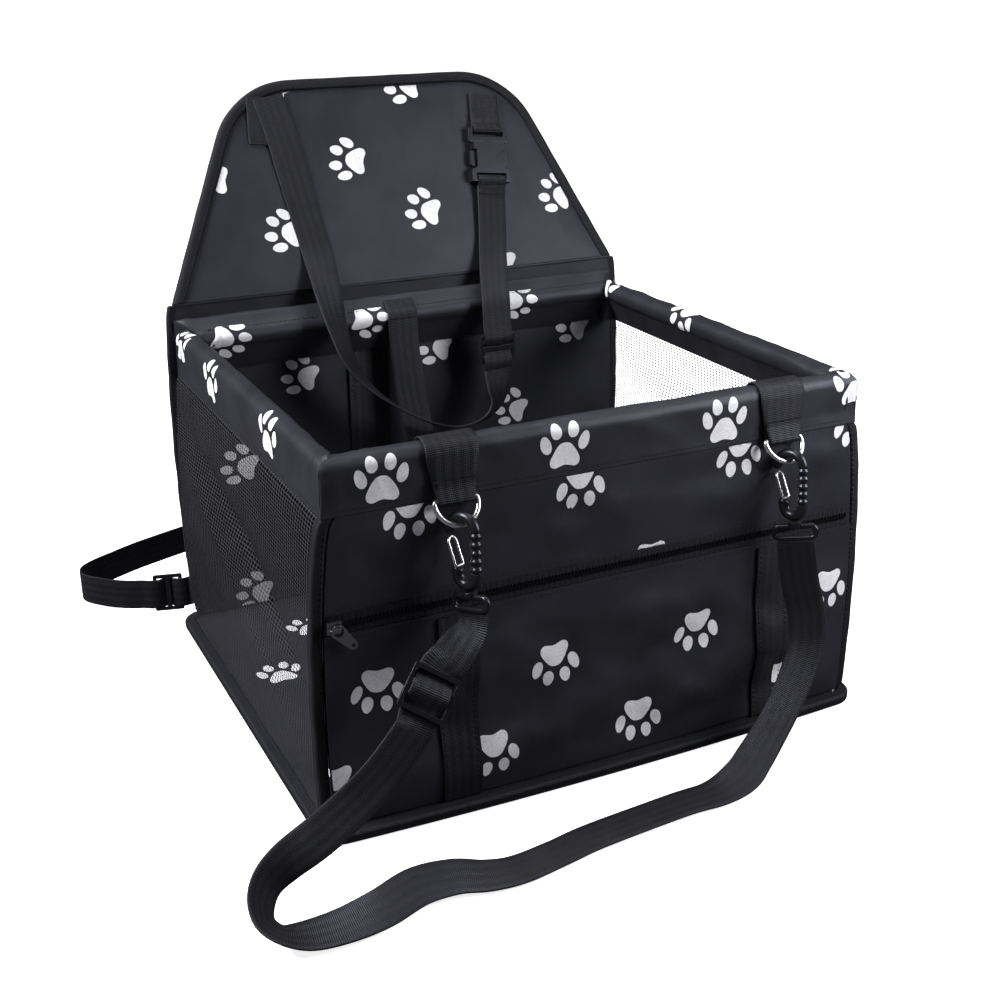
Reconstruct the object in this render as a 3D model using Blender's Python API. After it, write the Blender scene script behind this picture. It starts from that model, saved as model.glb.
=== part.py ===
"""Folding dog car seat: a fabric booster box with a head flap, straps and a shoulder lead.

Metres, +Z up, front towards -Y, the origin on the standing surface in the middle of the box.
"""

import math

import bmesh
import bpy
from mathutils import Matrix, Vector

# Box
BASE_WIDTH = 0.408
BASE_DEPTH = 0.350
RIM_WIDTH = 0.380
RIM_DEPTH = 0.328
RIM_HEIGHT = 0.247
GAP = 0.0003
OVERRUN = 0.004

# Base
EDGE_WIDTH = 0.009
EDGE_HEIGHT = 0.008
EDGE_ROUND = 0.0022
BASE_CORNER = 0.016
FRONT_BOW = 0.006
COVER_THICK = 0.0012
BOARD_THICK = 0.0038
FLOOR_THICK = 0.0014

# Walls
WALL_THICK = 0.0030
BACK_THICK = 0.0032
BELLY = 0.0120
BELLY_LOW_SHARE = 0.25
BELLY_POWER = 0.5
BACK_FLARE = 0.0020
BACK_BELLY = 0.0060
BIND_WIDTH = 0.0080
BIND_DEPTH = 0.0084
BACK_BIND_DEPTH = 0.0047

# Rim tubes in their sleeves
TUBE_RADIUS = 0.0070
TUBE_WALL = 0.0015
SLEEVE_CLOTH = 0.0012
SLEEVE_DROP = 0.0265
SLEEVE_RISE = 0.0160
SLEEVE_TAIL = 0.0030
TAIL_TURN = 235.0
TURN_STEP = 13.0
ELBOW_ARM = 0.014
SPIGOT_LENGTH = 0.020

# Zip and pocket on the front
ZIP_HEIGHT = 0.1450
TAPE_HEIGHT = 0.0130
TAPE_THICK = 0.0006
TAPE_SLOT = 0.0026
COIL_HEIGHT = 0.0044
COIL_THICK = 0.0014
ZIP_MARGIN = 0.0015
POCKET_THICK = 0.0012
STRIP_WIDTH = 0.026
STRIP_THICK = 0.0014
STRIP_CLEAR = 0.0035
ZIP_SLIDER_INSET = 0.001726
ZIP_SLIDER_LENGTH = 0.0090
ZIP_SLIDER_HEIGHT = 0.0075
ZIP_SLIDER_THICK = 0.0017
BRIDGE_SPAN = 0.0064
BRIDGE_RISE = 0.0027
BRIDGE_WIRE = 0.0005
PULL_LENGTH = 0.0165
PULL_THICK = 0.0008
PULL_HOLE = 0.0034
PULL_BAR = 0.0011
PULL_TIP = 0.0030
PULL_TIP_HOLE = 0.0013
PULL_DROOP = 50.0

# Mesh walls
NET_THICK = 0.0016
NET_COLUMNS = 12
NET_ROWS = 8
NET_BAR_SHARE = 0.40
NET_BACK_BELLY_SHARE = 0.67
FOLD_DEPTH = 0.009
FOLD_HALF = 0.030
FOLD_BACK_SHARE = 0.86
FOLD_FRONT_SHARE = 0.40

# Strip sewn down inside the back wall
BACK_STRIP_X = -0.036
BACK_STRIP_WIDTH = 0.034

# Head flap
FLAP_LEAN = 20.0
FLAP_LENGTH = 0.1630
FLAP_HALF_BOTTOM = 0.1895
FLAP_HALF_TOP = 0.1160
FLAP_CORNER = 0.070
FLAP_THICK = 0.0050
FLAP_EDGE_WIDTH = 0.009
FLAP_EDGE_THICK = 0.0074
HINGE_HEIGHT = 0.2640
SEAM_CLEAR = 0.0012

# Webbing
WEB_WIDTH = 0.025
WEB_THICK = 0.0016
WEB_STEP = 0.0125

# Side-release buckle on the flap
BUCKLE_X = 0.0860
BUCKLE_BOTTOM = 0.0700
BUCKLE_SKEW = 5.5
BUCKLE_WIDTH = 0.034
BUCKLE_THICK = 0.0090
BUCKLE_SEAT = 0.0003
FEMALE_LENGTH = 0.032
FEMALE_BAR_LENGTH = 0.0095
FEMALE_WAIST = 0.0235
FEMALE_MOUTH = 0.0280
WAIST_LOW = 0.0115
WAIST_HIGH = 0.0262
CAVITY_THICK = 0.0046
CAVITY_MOUTH = 0.0224
WEB_SLOT = 0.0262
WEB_SLOT_HEIGHT = 0.0042
MALE_GAP = 0.0006
MALE_HEIGHT = 0.0120
MALE_BAR = 0.0030
TONGUE_WIDTH = 0.0060
TONGUE_LENGTH = 0.0170
PRONG_THICK = 0.0034
TAB_TOP = 0.1425

# Tri-glide sliders
GLIDE_WIDTH = 0.0310
GLIDE_LENGTH = 0.0230
LEAD_GLIDE_LENGTH = 0.0280
GLIDE_THICK = 0.0026
GLIDE_BAR = 0.0040
GLIDE_RAIL = 0.0030
GLIDE_LIFT = 0.0024
GLIDE_RAMP_START = 0.0030
GLIDE_RAMP_END = 0.0035
GLIDE_RETURN = 0.0240

# Loops and D-rings on the front rim
LOOP_LEFT_X = -0.1080
LOOP_RIGHT_X = 0.1270
LOOP_WIDTH = 0.0340
LOOP_FOOT_WIDTH = 0.0238
LOOP_TAIL = 0.0120
RING_WIRE = 0.0016
RING_ARC = 0.0139
RING_LEG = 0.0020
RING_CORNER = 0.0018
RING_HEIGHT = 0.2115
RING_TILTS = {"left": 32.0, "right": 36.0}

# Snap hooks
HOOK_ARC = 0.0095
HOOK_FOOT_ARC = 0.0070
HOOK_TALL = 0.0369
HOOK_FOOT = 0.0117
HOOK_SECTION = 0.0032
HOOK_FOOT_SECTION = 0.0036
HOOK_RIBS = 5
HOOK_RIB_RISE = 0.0005
HOOK_NOSE_TURN = 187.0
HOOK_HEEL_TURN = 33.0
HOOK_TILT = 13.0
HOOK_YAWS = {"left": -62.0, "right": -68.0}
GATE_WIRE = 0.0009
GATE_HALF = 0.0036
GATE_CORNER = 0.0014
EYE_YAWS = {"left": -68.0, "right": -45.0}
EYE_WIRE = 0.0019
EYE_HALF = 0.0137
EYE_DROP = 0.0080
EYE_CORNER = 0.0036
EYE_COLLAR = 0.0046
EYE_COLLAR_HEIGHT = 0.0022

# Leash
LEASH_X = -0.0115
LEASH_HOOK_SPOT = (0.0445, -0.0010)
LEASH_HOOK_TURN = 197.0

# Lead: centre of the webbing and its direction across, from the left hook round the floor to the right one
LEAD_ROUTE = [
    ((-0.1080, -0.1883, 0.1457), (0.375, -0.903, 0.209)),
    ((-0.1080, -0.1894, 0.1410), (0.375, -0.903, 0.209)),
    ((-0.1120, -0.1920, 0.1355), (0.56, -0.80, 0.00)),
    ((-0.1225, -0.1960, 0.1275), (0.78, -0.55, -0.28)),
    ((-0.1340, -0.2000, 0.1180), (0.85, -0.35, -0.40)),
    ((-0.1440, -0.2042, 0.1080), (0.85, -0.30, -0.43)),
    ((-0.1530, -0.2082, 0.0935), (0.82, -0.22, -0.53)),
    ((-0.1814, -0.2120, 0.0650), (0.68, -0.30, -0.67)),
    ((-0.2151, -0.2160, 0.0440), (0.56, -0.48, -0.67)),
    ((-0.2400, -0.2200, 0.0340), (0.66, -0.20, -0.72)),
    ((-0.2531, -0.2240, 0.0268), (0.73, 0.15, -0.66)),
    ((-0.2596, -0.2310, 0.0190), (0.72, 0.45, -0.52)),
    ((-0.2605, -0.2395, 0.0128), (0.52, 0.78, -0.35)),
    ((-0.2537, -0.2480, 0.0082), (0.22, 0.95, -0.20)),
    ((-0.2405, -0.2515, 0.0052), (0.02, 1.00, 0.05)),
    ((-0.2196, -0.2537, 0.0062), (-0.02, 0.97, 0.24)),
    ((-0.1963, -0.2520, 0.0085), (-0.20, 0.88, 0.43)),
    ((-0.1710, -0.2440, 0.0095), (-0.30, 0.83, 0.47)),
    ((-0.1468, -0.2420, 0.0070), (-0.05, 0.93, 0.35)),
    ((-0.1279, -0.2465, 0.0045), (0.12, 0.97, 0.20)),
    ((-0.1074, -0.2476, 0.0028), (0.08, 0.99, 0.08)),
    ((-0.0780, -0.2430, 0.0022), (-0.12, 0.99, 0.02)),
    ((-0.0491, -0.2378, 0.0020), (-0.12, 0.99, 0.02)),
    ((0.0137, -0.2327, 0.0020), (-0.05, 1.00, 0.02)),
    ((0.0430, -0.2335, 0.0032), (-0.05, 0.99, 0.10)),
    ((0.0646, -0.2300, 0.0078), (-0.30, 0.85, 0.42)),
    ((0.0790, -0.2235, 0.0140), (-0.50, 0.66, 0.56)),
    ((0.0972, -0.2155, 0.0255), (-0.62, 0.45, 0.64)),
    ((0.1106, -0.2095, 0.0370), (-0.70, 0.42, 0.57)),
    ((0.1249, -0.2035, 0.0545), (-0.80, 0.42, 0.42)),
    ((0.1338, -0.1990, 0.0730), (-0.88, 0.42, 0.22)),
    ((0.1350, -0.1960, 0.0940), (-0.90, 0.43, 0.05)),
    ((0.1300, -0.1920, 0.1200), (-0.84, 0.54, -0.06)),
    ((0.1270, -0.1893, 0.1460), (-0.707, 0.689, -0.159)),
]
LEAD_GLIDE_AT = 0.0550

# Headrest strap: hangs from its patch on the flap, round the U, to the slider
STRAP_ROUTE = [
    ((-0.0885, 0.2110, 0.3995), (0.98, 0.06, 0.17)),
    ((-0.0837, 0.2024, 0.3763), (0.97, 0.06, 0.17)),
    ((-0.0788, 0.1897, 0.3418), (0.97, 0.06, 0.17)),
    ((-0.0720, 0.1730, 0.2974), (0.96, 0.07, 0.18)),
    ((-0.0705, 0.1590, 0.2740), (0.93, 0.28, 0.13)),
    ((-0.0710, 0.1450, 0.2560), (0.86, 0.45, 0.06)),
    ((-0.0700, 0.1335, 0.2370), (0.75, 0.62, -0.05)),
    ((-0.0646, 0.1220, 0.2130), (0.62, 0.74, -0.12)),
    ((-0.0453, 0.1160, 0.1880), (0.46, 0.84, -0.28)),
    ((-0.0135, 0.1120, 0.1650), (0.40, 0.85, -0.33)),
    ((0.0176, 0.1140, 0.1523), (0.42, 0.84, -0.33)),
    ((0.0418, 0.1180, 0.1532), (0.52, 0.80, -0.24)),
    ((0.0574, 0.1240, 0.1620), (0.72, 0.66, -0.12)),
    ((0.0642, 0.1300, 0.1765), (0.95, 0.28, -0.02)),
    ((0.0656, 0.1334, 0.1897), (1.00, 0.02, 0.00)),
]

# Doubled run of the headrest strap, from the slider up to the buckle
RUN_ROUTE = [
    ((0.0656, 0.1335, 0.1900), (1.00, 0.02, 0.00)),
    ((0.0656, 0.1335, 0.2060), (1.00, 0.00, 0.00)),
    ((0.0656, 0.1335, 0.2260), (1.00, 0.00, 0.00)),
    ((0.0662, 0.1360, 0.2430), (1.00, 0.00, -0.02)),
    ((0.0700, 0.1470, 0.2590), (1.00, 0.00, -0.06)),
    ((0.0755, 0.1605, 0.2770), (1.00, 0.00, -0.10)),
    ((0.0800, 0.1705, 0.2990), (0.995, 0.00, -0.10)),
    ((0.0832, 0.1783, 0.3200), (0.995, 0.00, -0.10)),
    ((0.0845, 0.1826, 0.3315), (0.995, 0.00, -0.10)),
]
RUN_GLIDE_AT = 0.0170

# Waist strap: a loop behind the box, sewn to the back wall at both ends
WAIST_ROUTE = [
    ((-0.1500, 0.1690, 0.0280), (0, 0, 1)),
    ((-0.1720, 0.1706, 0.0280), (0, 0, 1)),
    ((-0.1950, 0.1735, 0.0280), (0, 0, 1)),
    ((-0.2130, 0.1770, 0.0280), (0, 0, 1)),
    ((-0.2400, 0.1860, 0.0280), (0, 0, 1)),
    ((-0.2610, 0.2030, 0.0280), (0, 0, 1)),
    ((-0.2715, 0.2200, 0.0280), (0, 0, 1)),
    ((-0.2650, 0.2360, 0.0280), (0, 0, 1)),
    ((-0.2380, 0.2520, 0.0280), (0, 0, 1)),
    ((-0.2060, 0.2670, 0.0280), (0, 0, 1)),
    ((-0.1500, 0.2850, 0.0280), (0, 0, 1)),
    ((-0.0800, 0.2890, 0.0280), (0, 0, 1)),
    ((0.0000, 0.2740, 0.0280), (0, 0, 1)),
    ((0.0800, 0.2430, 0.0280), (0, 0, 1)),
    ((0.1320, 0.2080, 0.0280), (0, 0, 1)),
    ((0.1580, 0.1820, 0.0280), (0, 0, 1)),
    ((0.1700, 0.1695, 0.0280), (0, 0, 1)),
]
WAIST_GLIDE_AT = 0.0620

# Leash: down the back wall from its tab and along the floor to its hook
LEASH_ROUTE = [
    ((-0.0115, 0.1459, 0.2378), (1.00, 0.00, 0.00)),
    ((-0.0110, 0.1452, 0.2150), (1.00, -0.02, 0.00)),
    ((-0.0085, 0.1420, 0.1800), (1.00, -0.05, 0.00)),
    ((-0.0050, 0.1370, 0.1480), (1.00, -0.05, 0.00)),
    ((0.0000, 0.1310, 0.1000), (1.00, -0.05, 0.00)),
    ((0.0060, 0.1240, 0.0550), (1.00, -0.05, 0.00)),
    ((0.0120, 0.1120, 0.0240), (1.00, 0.05, 0.00)),
    ((0.0190, 0.0930, 0.0120), (0.97, 0.20, 0.00)),
    ((0.0270, 0.0640, 0.0098), (0.97, 0.24, 0.00)),
    ((0.0350, 0.0360, 0.0098), (0.97, 0.26, 0.00)),
    ((0.0389, 0.0170, 0.0105), (0.956, 0.292, 0.00)),
    ((0.0420, 0.0071, 0.0118), (0.956, 0.292, 0.00)),
]

# Places worked out from the sizes above
TUBE_HALF_X = RIM_WIDTH / 2 - TUBE_RADIUS - GAP - SLEEVE_CLOTH
TUBE_HALF_Y = RIM_DEPTH / 2 - TUBE_RADIUS - GAP - SLEEVE_CLOTH
TUBE_HEIGHT = RIM_HEIGHT - TUBE_RADIUS - GAP - SLEEVE_CLOTH
SLEEVE_RADIUS = TUBE_RADIUS + GAP + SLEEVE_CLOTH
WALL_BOTTOM = EDGE_HEIGHT + GAP
WALL_TOP = TUBE_HEIGHT - SLEEVE_DROP - GAP
FACE_Y = RIM_DEPTH / 2
BACK_Y = RIM_DEPTH / 2 + GAP
FLOOR_TOP = COVER_THICK + BOARD_THICK + FLOOR_THICK + 2 * GAP
FLAP_SET = Matrix.Rotation(math.radians(FLAP_LEAN), 3, "X") @ Vector((0, BACK_THICK / 2, 0))
STRIP_TOP = ZIP_HEIGHT - TAPE_HEIGHT / 2 - STRIP_CLEAR
TAPE_Y = FACE_Y + GAP + TAPE_THICK
COIL_Y = TAPE_Y + GAP + COIL_THICK
ZIP_SLIDER_Y = COIL_Y + GAP + ZIP_SLIDER_THICK
RING_Y = FACE_Y + GAP + WEB_THICK + GAP + RING_WIRE


def material(name, colour, roughness, metallic=0.0):
    """Makes a plain surface."""
    made = bpy.data.materials.new(name)
    made.use_nodes = True
    shader = made.node_tree.nodes["Principled BSDF"]
    shader.inputs["Base Color"].default_value = (*colour, 1.0)
    shader.inputs["Roughness"].default_value = roughness
    shader.inputs["Metallic"].default_value = metallic
    made.diffuse_color = (*colour, 1.0)
    return made


def piece(name, bm, surface, origin=(0, 0, 0), smooth=None):
    """Turns a bmesh into a named object with its origin at a given place."""
    bmesh.ops.recalc_face_normals(bm, faces=bm.faces)
    bmesh.ops.translate(bm, vec=-Vector(origin), verts=bm.verts)
    mesh = bpy.data.meshes.new(name)
    bm.to_mesh(mesh)
    bm.free()
    made = bpy.data.objects.new(name, mesh)
    made.location = origin
    mesh.materials.append(surface)
    bpy.context.scene.collection.objects.link(made)
    if smooth is not None:
        mesh.shade_smooth()
        mesh.set_sharp_from_angle(angle=math.radians(smooth))
    return made


def bridged(loops, ring=False):
    """Skins equal loops one after the other, as a ring or with filled ends."""
    bm = bmesh.new()
    rows = [[bm.verts.new(point) for point in loop] for loop in loops]
    pairs = list(zip(rows, rows[1:]))
    if ring:
        pairs.append((rows[-1], rows[0]))
    for lower, upper in pairs:
        for i, start in enumerate(lower):
            j = (i + 1) % len(lower)
            bm.faces.new((start, lower[j], upper[j], upper[i]))
    if not ring:
        bm.faces.new(rows[0])
        bm.faces.new(rows[-1])
    return bm


def strap_skin(loops):
    """Skins four-cornered loops with both broad faces of each step split the same way."""
    bm = bmesh.new()
    rows = [[bm.verts.new(point) for point in loop] for loop in loops]
    for low, high in zip(rows, rows[1:]):
        for i in range(4):
            j = (i + 1) % 4
            if i == 2:
                bm.faces.new((low[i], low[j], high[i]))
                bm.faces.new((low[j], high[j], high[i]))
            else:
                bm.faces.new((low[i], low[j], high[j]))
                bm.faces.new((low[i], high[j], high[i]))
    bm.faces.new(rows[0])
    bm.faces.new(rows[-1])
    return bm


def prism(outline, low, high, place):
    """Extrudes a flat outline from low to high; place puts (u, v, w) in space."""
    return bridged([[place(u, v, w) for u, v in outline] for w in (low, high)])


def block(low, high):
    """Makes a plain cuboid between two corners."""
    outline = [(low[0], low[1]), (high[0], low[1]), (high[0], high[1]), (low[0], high[1])]
    return prism(outline, low[2], high[2], lambda u, v, w: Vector((u, v, w)))


def arc(centre, radius, start, end, steps):
    """Points on an arc, angles in degrees."""
    turns = [math.radians(start + (end - start) * i / steps) for i in range(steps + 1)]
    return [(centre[0] + radius * math.cos(t), centre[1] + radius * math.sin(t)) for t in turns]


def rounded(half_u, half_v, radius, steps=4):
    """Outline of a rectangle with round corners."""
    corners = ((half_u, half_v, 0), (-half_u, half_v, 90), (-half_u, -half_v, 180), (half_u, -half_v, 270))
    outline = []
    for u, v, start in corners:
        centre = (u - math.copysign(radius, u), v - math.copysign(radius, v))
        outline += arc(centre, radius, start, start + 90, steps)
    return outline


def tube(points, radii, sides, place, ring=False):
    """Sweeps a circle along a flat path given as (u, v); place puts (u, v, w) in space."""
    count = len(points)
    loops = []
    for i, (u, v) in enumerate(points):
        before = points[(i - 1) % count] if ring else points[max(i - 1, 0)]
        after = points[(i + 1) % count] if ring else points[min(i + 1, count - 1)]
        along = Vector((after[0] - before[0], after[1] - before[1])).normalized()
        across = Vector((-along.y, along.x))
        radius = radii[i] if isinstance(radii, list) else radii
        loop = []
        for k in range(sides):
            turn = 2 * math.pi * k / sides
            out = radius * math.cos(turn)
            loop.append(place(u + across.x * out, v + across.y * out, radius * math.sin(turn)))
        loops.append(loop)
    return bridged(loops, ring)


def cut_with(target, tools, operation="DIFFERENCE"):
    """Cuts or joins solids and keeps only the result."""
    for tool in tools:
        change = target.modifiers.new("cut", "BOOLEAN")
        change.operation = operation
        change.object = tool
    bpy.context.view_layer.update()
    result = target.evaluated_get(bpy.context.evaluated_depsgraph_get())
    mesh = bpy.data.meshes.new_from_object(result)
    target.modifiers.clear()
    target.data = mesh
    for tool in tools:
        bpy.data.objects.remove(tool)


def hold(child, parent):
    """Parents a piece that is already in its place."""
    bpy.context.view_layer.update()
    child.parent = parent
    child.matrix_parent_inverse = parent.matrix_world.inverted()


def pivot(name, place, turn=(0, 0, 0)):
    """Makes an empty on a joint's axis."""
    made = bpy.data.objects.new(name, None)
    made.location = place
    made.rotation_euler = turn
    bpy.context.scene.collection.objects.link(made)
    bpy.context.view_layer.update()
    return made


def belly(height):
    """How far the walls stand out past the rim at a height."""
    share = min(max((height - WALL_BOTTOM) / (WALL_TOP - WALL_BOTTOM), 0), 1)
    turn = math.pi * (BELLY_LOW_SHARE + (1 - BELLY_LOW_SHARE) * share)
    return BELLY * max(math.sin(turn), 0) ** BELLY_POWER


def corner_x(height, back=False):
    """Middle of a bound vertical edge at a height."""
    if back:
        share = min(max((height - WALL_BOTTOM) / (HINGE_HEIGHT - WALL_BOTTOM), 0), 1)
        out = BACK_FLARE + BACK_BELLY * math.sin(math.pi * share) ** BELLY_POWER
    else:
        out = belly(height)
    return RIM_WIDTH / 2 - BIND_WIDTH / 2 + out


def front_bow(x, height):
    """How far the front stands out at its foot, fading to none at the zip."""
    low = ZIP_HEIGHT - TAPE_HEIGHT
    fade = max(1 - height / low, 0)
    return FRONT_BOW * max(1 - (2 * x / BASE_WIDTH) ** 2, 0) * fade


def front_sheet(name, left, right, bottom, top, behind, ahead, columns, rows, surface):
    """A sheet that follows the front wall, between two depths in front of the wall's face."""
    loops = []
    for j in range(rows + 1):
        height = bottom + (top - bottom) * j / rows
        low, high = left(height), right(height)
        xs = [low + (high - low) * i / columns for i in range(columns + 1)]
        near = [Vector((x, -(FACE_Y + front_bow(x, height) + ahead), height)) for x in xs]
        far = [Vector((x, -(FACE_Y + front_bow(x, height) + behind), height)) for x in reversed(xs)]
        loops.append(near + far)
    return piece(name, bridged(loops), surface, smooth=40)


# Base
def base_outline(inset, height):
    """Round-cornered outline of the base, bowed out at the front."""
    half_x = BASE_WIDTH / 2 - inset
    half_y = BASE_DEPTH / 2 - inset
    corner = BASE_CORNER - inset
    steps = 12
    outline = []
    for u, v in rounded(half_x, half_y, corner, 5):
        outline.append((u, v))
        if v < 0 and u < 0 and abs(v + half_y) < GAP / 100:
            low, high = -half_x + corner, half_x - corner
            outline += [(low + (high - low) * i / steps, -half_y) for i in range(1, steps)]
    bowed = []
    for u, v in outline:
        bow = FRONT_BOW * max(1 - (u / half_x) ** 2, 0) if v < 0 and v < -half_y + corner else 0
        bowed.append(Vector((u, v - bow * max(-v - half_y + corner, 0) / corner, height)))
    return bowed


def make_base(cloth, board, bound):
    profile = [
        (EDGE_ROUND, 0), (0, EDGE_ROUND), (0, EDGE_HEIGHT - EDGE_ROUND), (EDGE_ROUND, EDGE_HEIGHT),
        (EDGE_WIDTH - EDGE_ROUND, EDGE_HEIGHT), (EDGE_WIDTH, EDGE_HEIGHT - EDGE_ROUND), (EDGE_WIDTH, 0),
    ]
    piece("base_binding", bridged([base_outline(i, h) for i, h in profile], ring=True), bound, smooth=50)
    inset = EDGE_WIDTH + GAP
    level = 0
    for name, thick, surface in (
        ("base_cover", COVER_THICK, cloth),
        ("base_board", BOARD_THICK, board),
        ("floor_panel", FLOOR_THICK, cloth),
    ):
        piece(name, bridged([base_outline(inset, level), base_outline(inset, level + thick)]), surface)
        level += thick + GAP


# Walls
def make_front(cloth, bound, coil, metal):
    edge = BIND_WIDTH / 2 + GAP
    front_sheet("front_panel", lambda h: -corner_x(h) + edge, lambda h: corner_x(h) - edge,
                WALL_BOTTOM, WALL_TOP, -WALL_THICK, 0, 12, 10, cloth)
    tape_low = ZIP_HEIGHT - TAPE_HEIGHT / 2
    front_sheet("front_pocket", lambda h: -corner_x(h) + edge, lambda h: corner_x(h) - edge,
                WALL_BOTTOM, tape_low - GAP, GAP, GAP + POCKET_THICK, 12, 7, cloth)
    strip_low = GAP + POCKET_THICK + GAP
    for name, middle in (("pocket_strip_left", LOOP_LEFT_X), ("pocket_strip_right", LOOP_RIGHT_X)):
        front_sheet(name, lambda h, m=middle: m - STRIP_WIDTH / 2, lambda h, m=middle: m + STRIP_WIDTH / 2,
                    WALL_BOTTOM, STRIP_TOP, strip_low, strip_low + STRIP_THICK, 2, 7, bound)
    half = corner_x(ZIP_HEIGHT) - edge - ZIP_MARGIN
    tape_high = (half, -FACE_Y - GAP, tape_low + TAPE_HEIGHT)
    tape = piece("zip_tape", block((-half, -TAPE_Y, tape_low), tape_high), cloth)
    slot = half - ZIP_MARGIN
    hole_low = (-slot, -TAPE_Y - OVERRUN, ZIP_HEIGHT - TAPE_SLOT / 2)
    hole = block(hole_low, (slot, -FACE_Y, ZIP_HEIGHT + TAPE_SLOT / 2))
    cut_with(tape, [piece("tape_slot", hole, cloth)])
    low = Vector((-slot, -COIL_Y, ZIP_HEIGHT - COIL_HEIGHT / 2))
    high = Vector((slot, -TAPE_Y - GAP, ZIP_HEIGHT + COIL_HEIGHT / 2))
    piece("zip_coil", block(low, high), coil)
    make_zip_slider(metal)


def make_zip_slider(metal):
    """The slider at the left end of the zip, with the pull that hangs in its bridge."""
    end = corner_x(ZIP_HEIGHT) - BIND_WIDTH / 2 - GAP - 2 * ZIP_MARGIN
    spot = Vector((ZIP_SLIDER_INSET - end, -COIL_Y - GAP, ZIP_HEIGHT))
    half = Vector((ZIP_SLIDER_LENGTH / 2, 0, ZIP_SLIDER_HEIGHT / 2))
    low = spot - half - Vector((0, ZIP_SLIDER_THICK, 0))
    body = piece("zip_slider", block(low, spot + half), metal, origin=spot)
    rise = ZIP_SLIDER_THICK + BRIDGE_RISE
    side = BRIDGE_SPAN / 2
    path = [(-side, ZIP_SLIDER_THICK / 2), (-side, rise - BRIDGE_WIRE), (-side + BRIDGE_WIRE, rise)]
    path += [(side - BRIDGE_WIRE, rise), (side, rise - BRIDGE_WIRE), (side, ZIP_SLIDER_THICK / 2)]
    bridge = tube(path, BRIDGE_WIRE, 8, lambda u, v, w: spot + Vector((u, -v, w)))
    cut_with(body, [piece("zip_bridge", bridge, metal)], "UNION")

    # The pull's cross bar lies under the bridge, and one leg of the bridge stands in its hole
    droop = math.radians(PULL_DROOP)
    along = Vector((math.cos(droop), 0, -math.sin(droop)))
    across = Vector((math.sin(droop), 0, math.cos(droop)))
    under = ZIP_SLIDER_THICK + (BRIDGE_RISE - BRIDGE_WIRE) / 2
    hub = spot + Vector((0, -under, 0))
    reach = PULL_HOLE - PULL_BAR / 2
    head = PULL_HOLE + PULL_BAR
    outline = arc((reach, 0), head, 70, 290, 12)
    outline += arc((PULL_LENGTH, 0), PULL_TIP, -90, 90, 8)

    def place(u, v, w):
        return hub + along * u + across * v + Vector((0, w, 0))

    axis = hub - along * PULL_BAR
    pull = piece("zip_pull", prism(outline, -PULL_THICK / 2, PULL_THICK / 2, place), metal, origin=axis)
    over = PULL_THICK / 2 + OVERRUN
    holes = [prism(arc((reach, 0), PULL_HOLE, 0, 345, 15), -over, over, place),
             prism(arc((PULL_LENGTH, 0), PULL_TIP_HOLE, 0, 330, 11), -over, over, place)]
    cut_with(pull, [piece("pull_hole", hole, metal) for hole in holes])
    hold(pull, body)


def make_back(cloth, bound):
    rows = 10
    edge = BIND_WIDTH / 2 + GAP
    top = HINGE_HEIGHT - GAP
    loops = []
    for j in range(rows + 1):
        height = WALL_BOTTOM + (top - WALL_BOTTOM) * j / rows
        half = corner_x(height, back=True) - edge
        loops.append([Vector((x, y, height)) for x, y in (
            (-half, BACK_Y), (half, BACK_Y), (half, BACK_Y + BACK_THICK), (-half, BACK_Y + BACK_THICK))])
    piece("back_panel", bridged(loops), cloth)
    low = Vector((BACK_STRIP_X - BACK_STRIP_WIDTH / 2, BACK_Y - GAP - WEB_THICK, WALL_BOTTOM))
    high = Vector((BACK_STRIP_X + BACK_STRIP_WIDTH / 2, BACK_Y - GAP, WALL_TOP))
    piece("back_wall_strap", block(low, high), bound)


def make_corner_bindings(bound):
    for name, side, y_low, y_high, top in (
        ("corner_binding_front_left", -1, -FACE_Y, -FACE_Y + BIND_DEPTH, WALL_TOP),
        ("corner_binding_front_right", 1, -FACE_Y, -FACE_Y + BIND_DEPTH, WALL_TOP),
        ("corner_binding_back_left", -1, BACK_Y, BACK_Y + BACK_BIND_DEPTH, HINGE_HEIGHT - GAP),
        ("corner_binding_back_right", 1, BACK_Y, BACK_Y + BACK_BIND_DEPTH, HINGE_HEIGHT - GAP),
    ):
        rows = 10
        loops = []
        for j in range(rows + 1):
            height = WALL_BOTTOM + (top - WALL_BOTTOM) * j / rows
            middle = Vector((side * corner_x(height, y_low > 0), (y_low + y_high) / 2, height))
            outline = rounded(BIND_WIDTH / 2, (y_high - y_low) / 2, BIND_WIDTH / 4, 2)
            loops.append([middle + Vector((u, v, 0)) for u, v in outline])
        piece(name, bridged(loops), bound, smooth=50)


# Mesh walls
def net_point(side, along, up, outer):
    """A point of a mesh wall at shares along (front to back) and up, on its outer or inner face."""
    front = -FACE_Y + BIND_DEPTH + GAP
    y = front + (BACK_Y - GAP - front) * along
    z = WALL_BOTTOM + (WALL_TOP - WALL_BOTTOM) * up
    line_up = FOLD_FRONT_SHARE + (FOLD_BACK_SHARE - FOLD_FRONT_SHARE) * along
    away = (up - line_up) * (WALL_TOP - WALL_BOTTOM)
    fade = math.sin(math.pi * along) ** 0.5 * math.sin(math.pi * up) if 0 < along < 1 and 0 < up < 1 else 0
    fold = FOLD_DEPTH * math.exp(-(away / FOLD_HALF) ** 2) * fade
    bulge = belly(z) * (1 - (1 - NET_BACK_BELLY_SHARE) * along)
    x = RIM_WIDTH / 2 - SLEEVE_TAIL / 2 + NET_THICK / 2 + bulge - fold
    return Vector((side * (x - (0 if outer else NET_THICK)), y, z))


def net_shares(cells):
    """Positions of the bars and gaps across a net, bar first and last."""
    bar = NET_BAR_SHARE / cells
    shares = [0]
    for k in range(cells):
        start = bar + (1 - bar) * k / cells
        shares += [start, bar + (1 - bar) * (k + 1) / cells - bar]
    return shares + [1]


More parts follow.
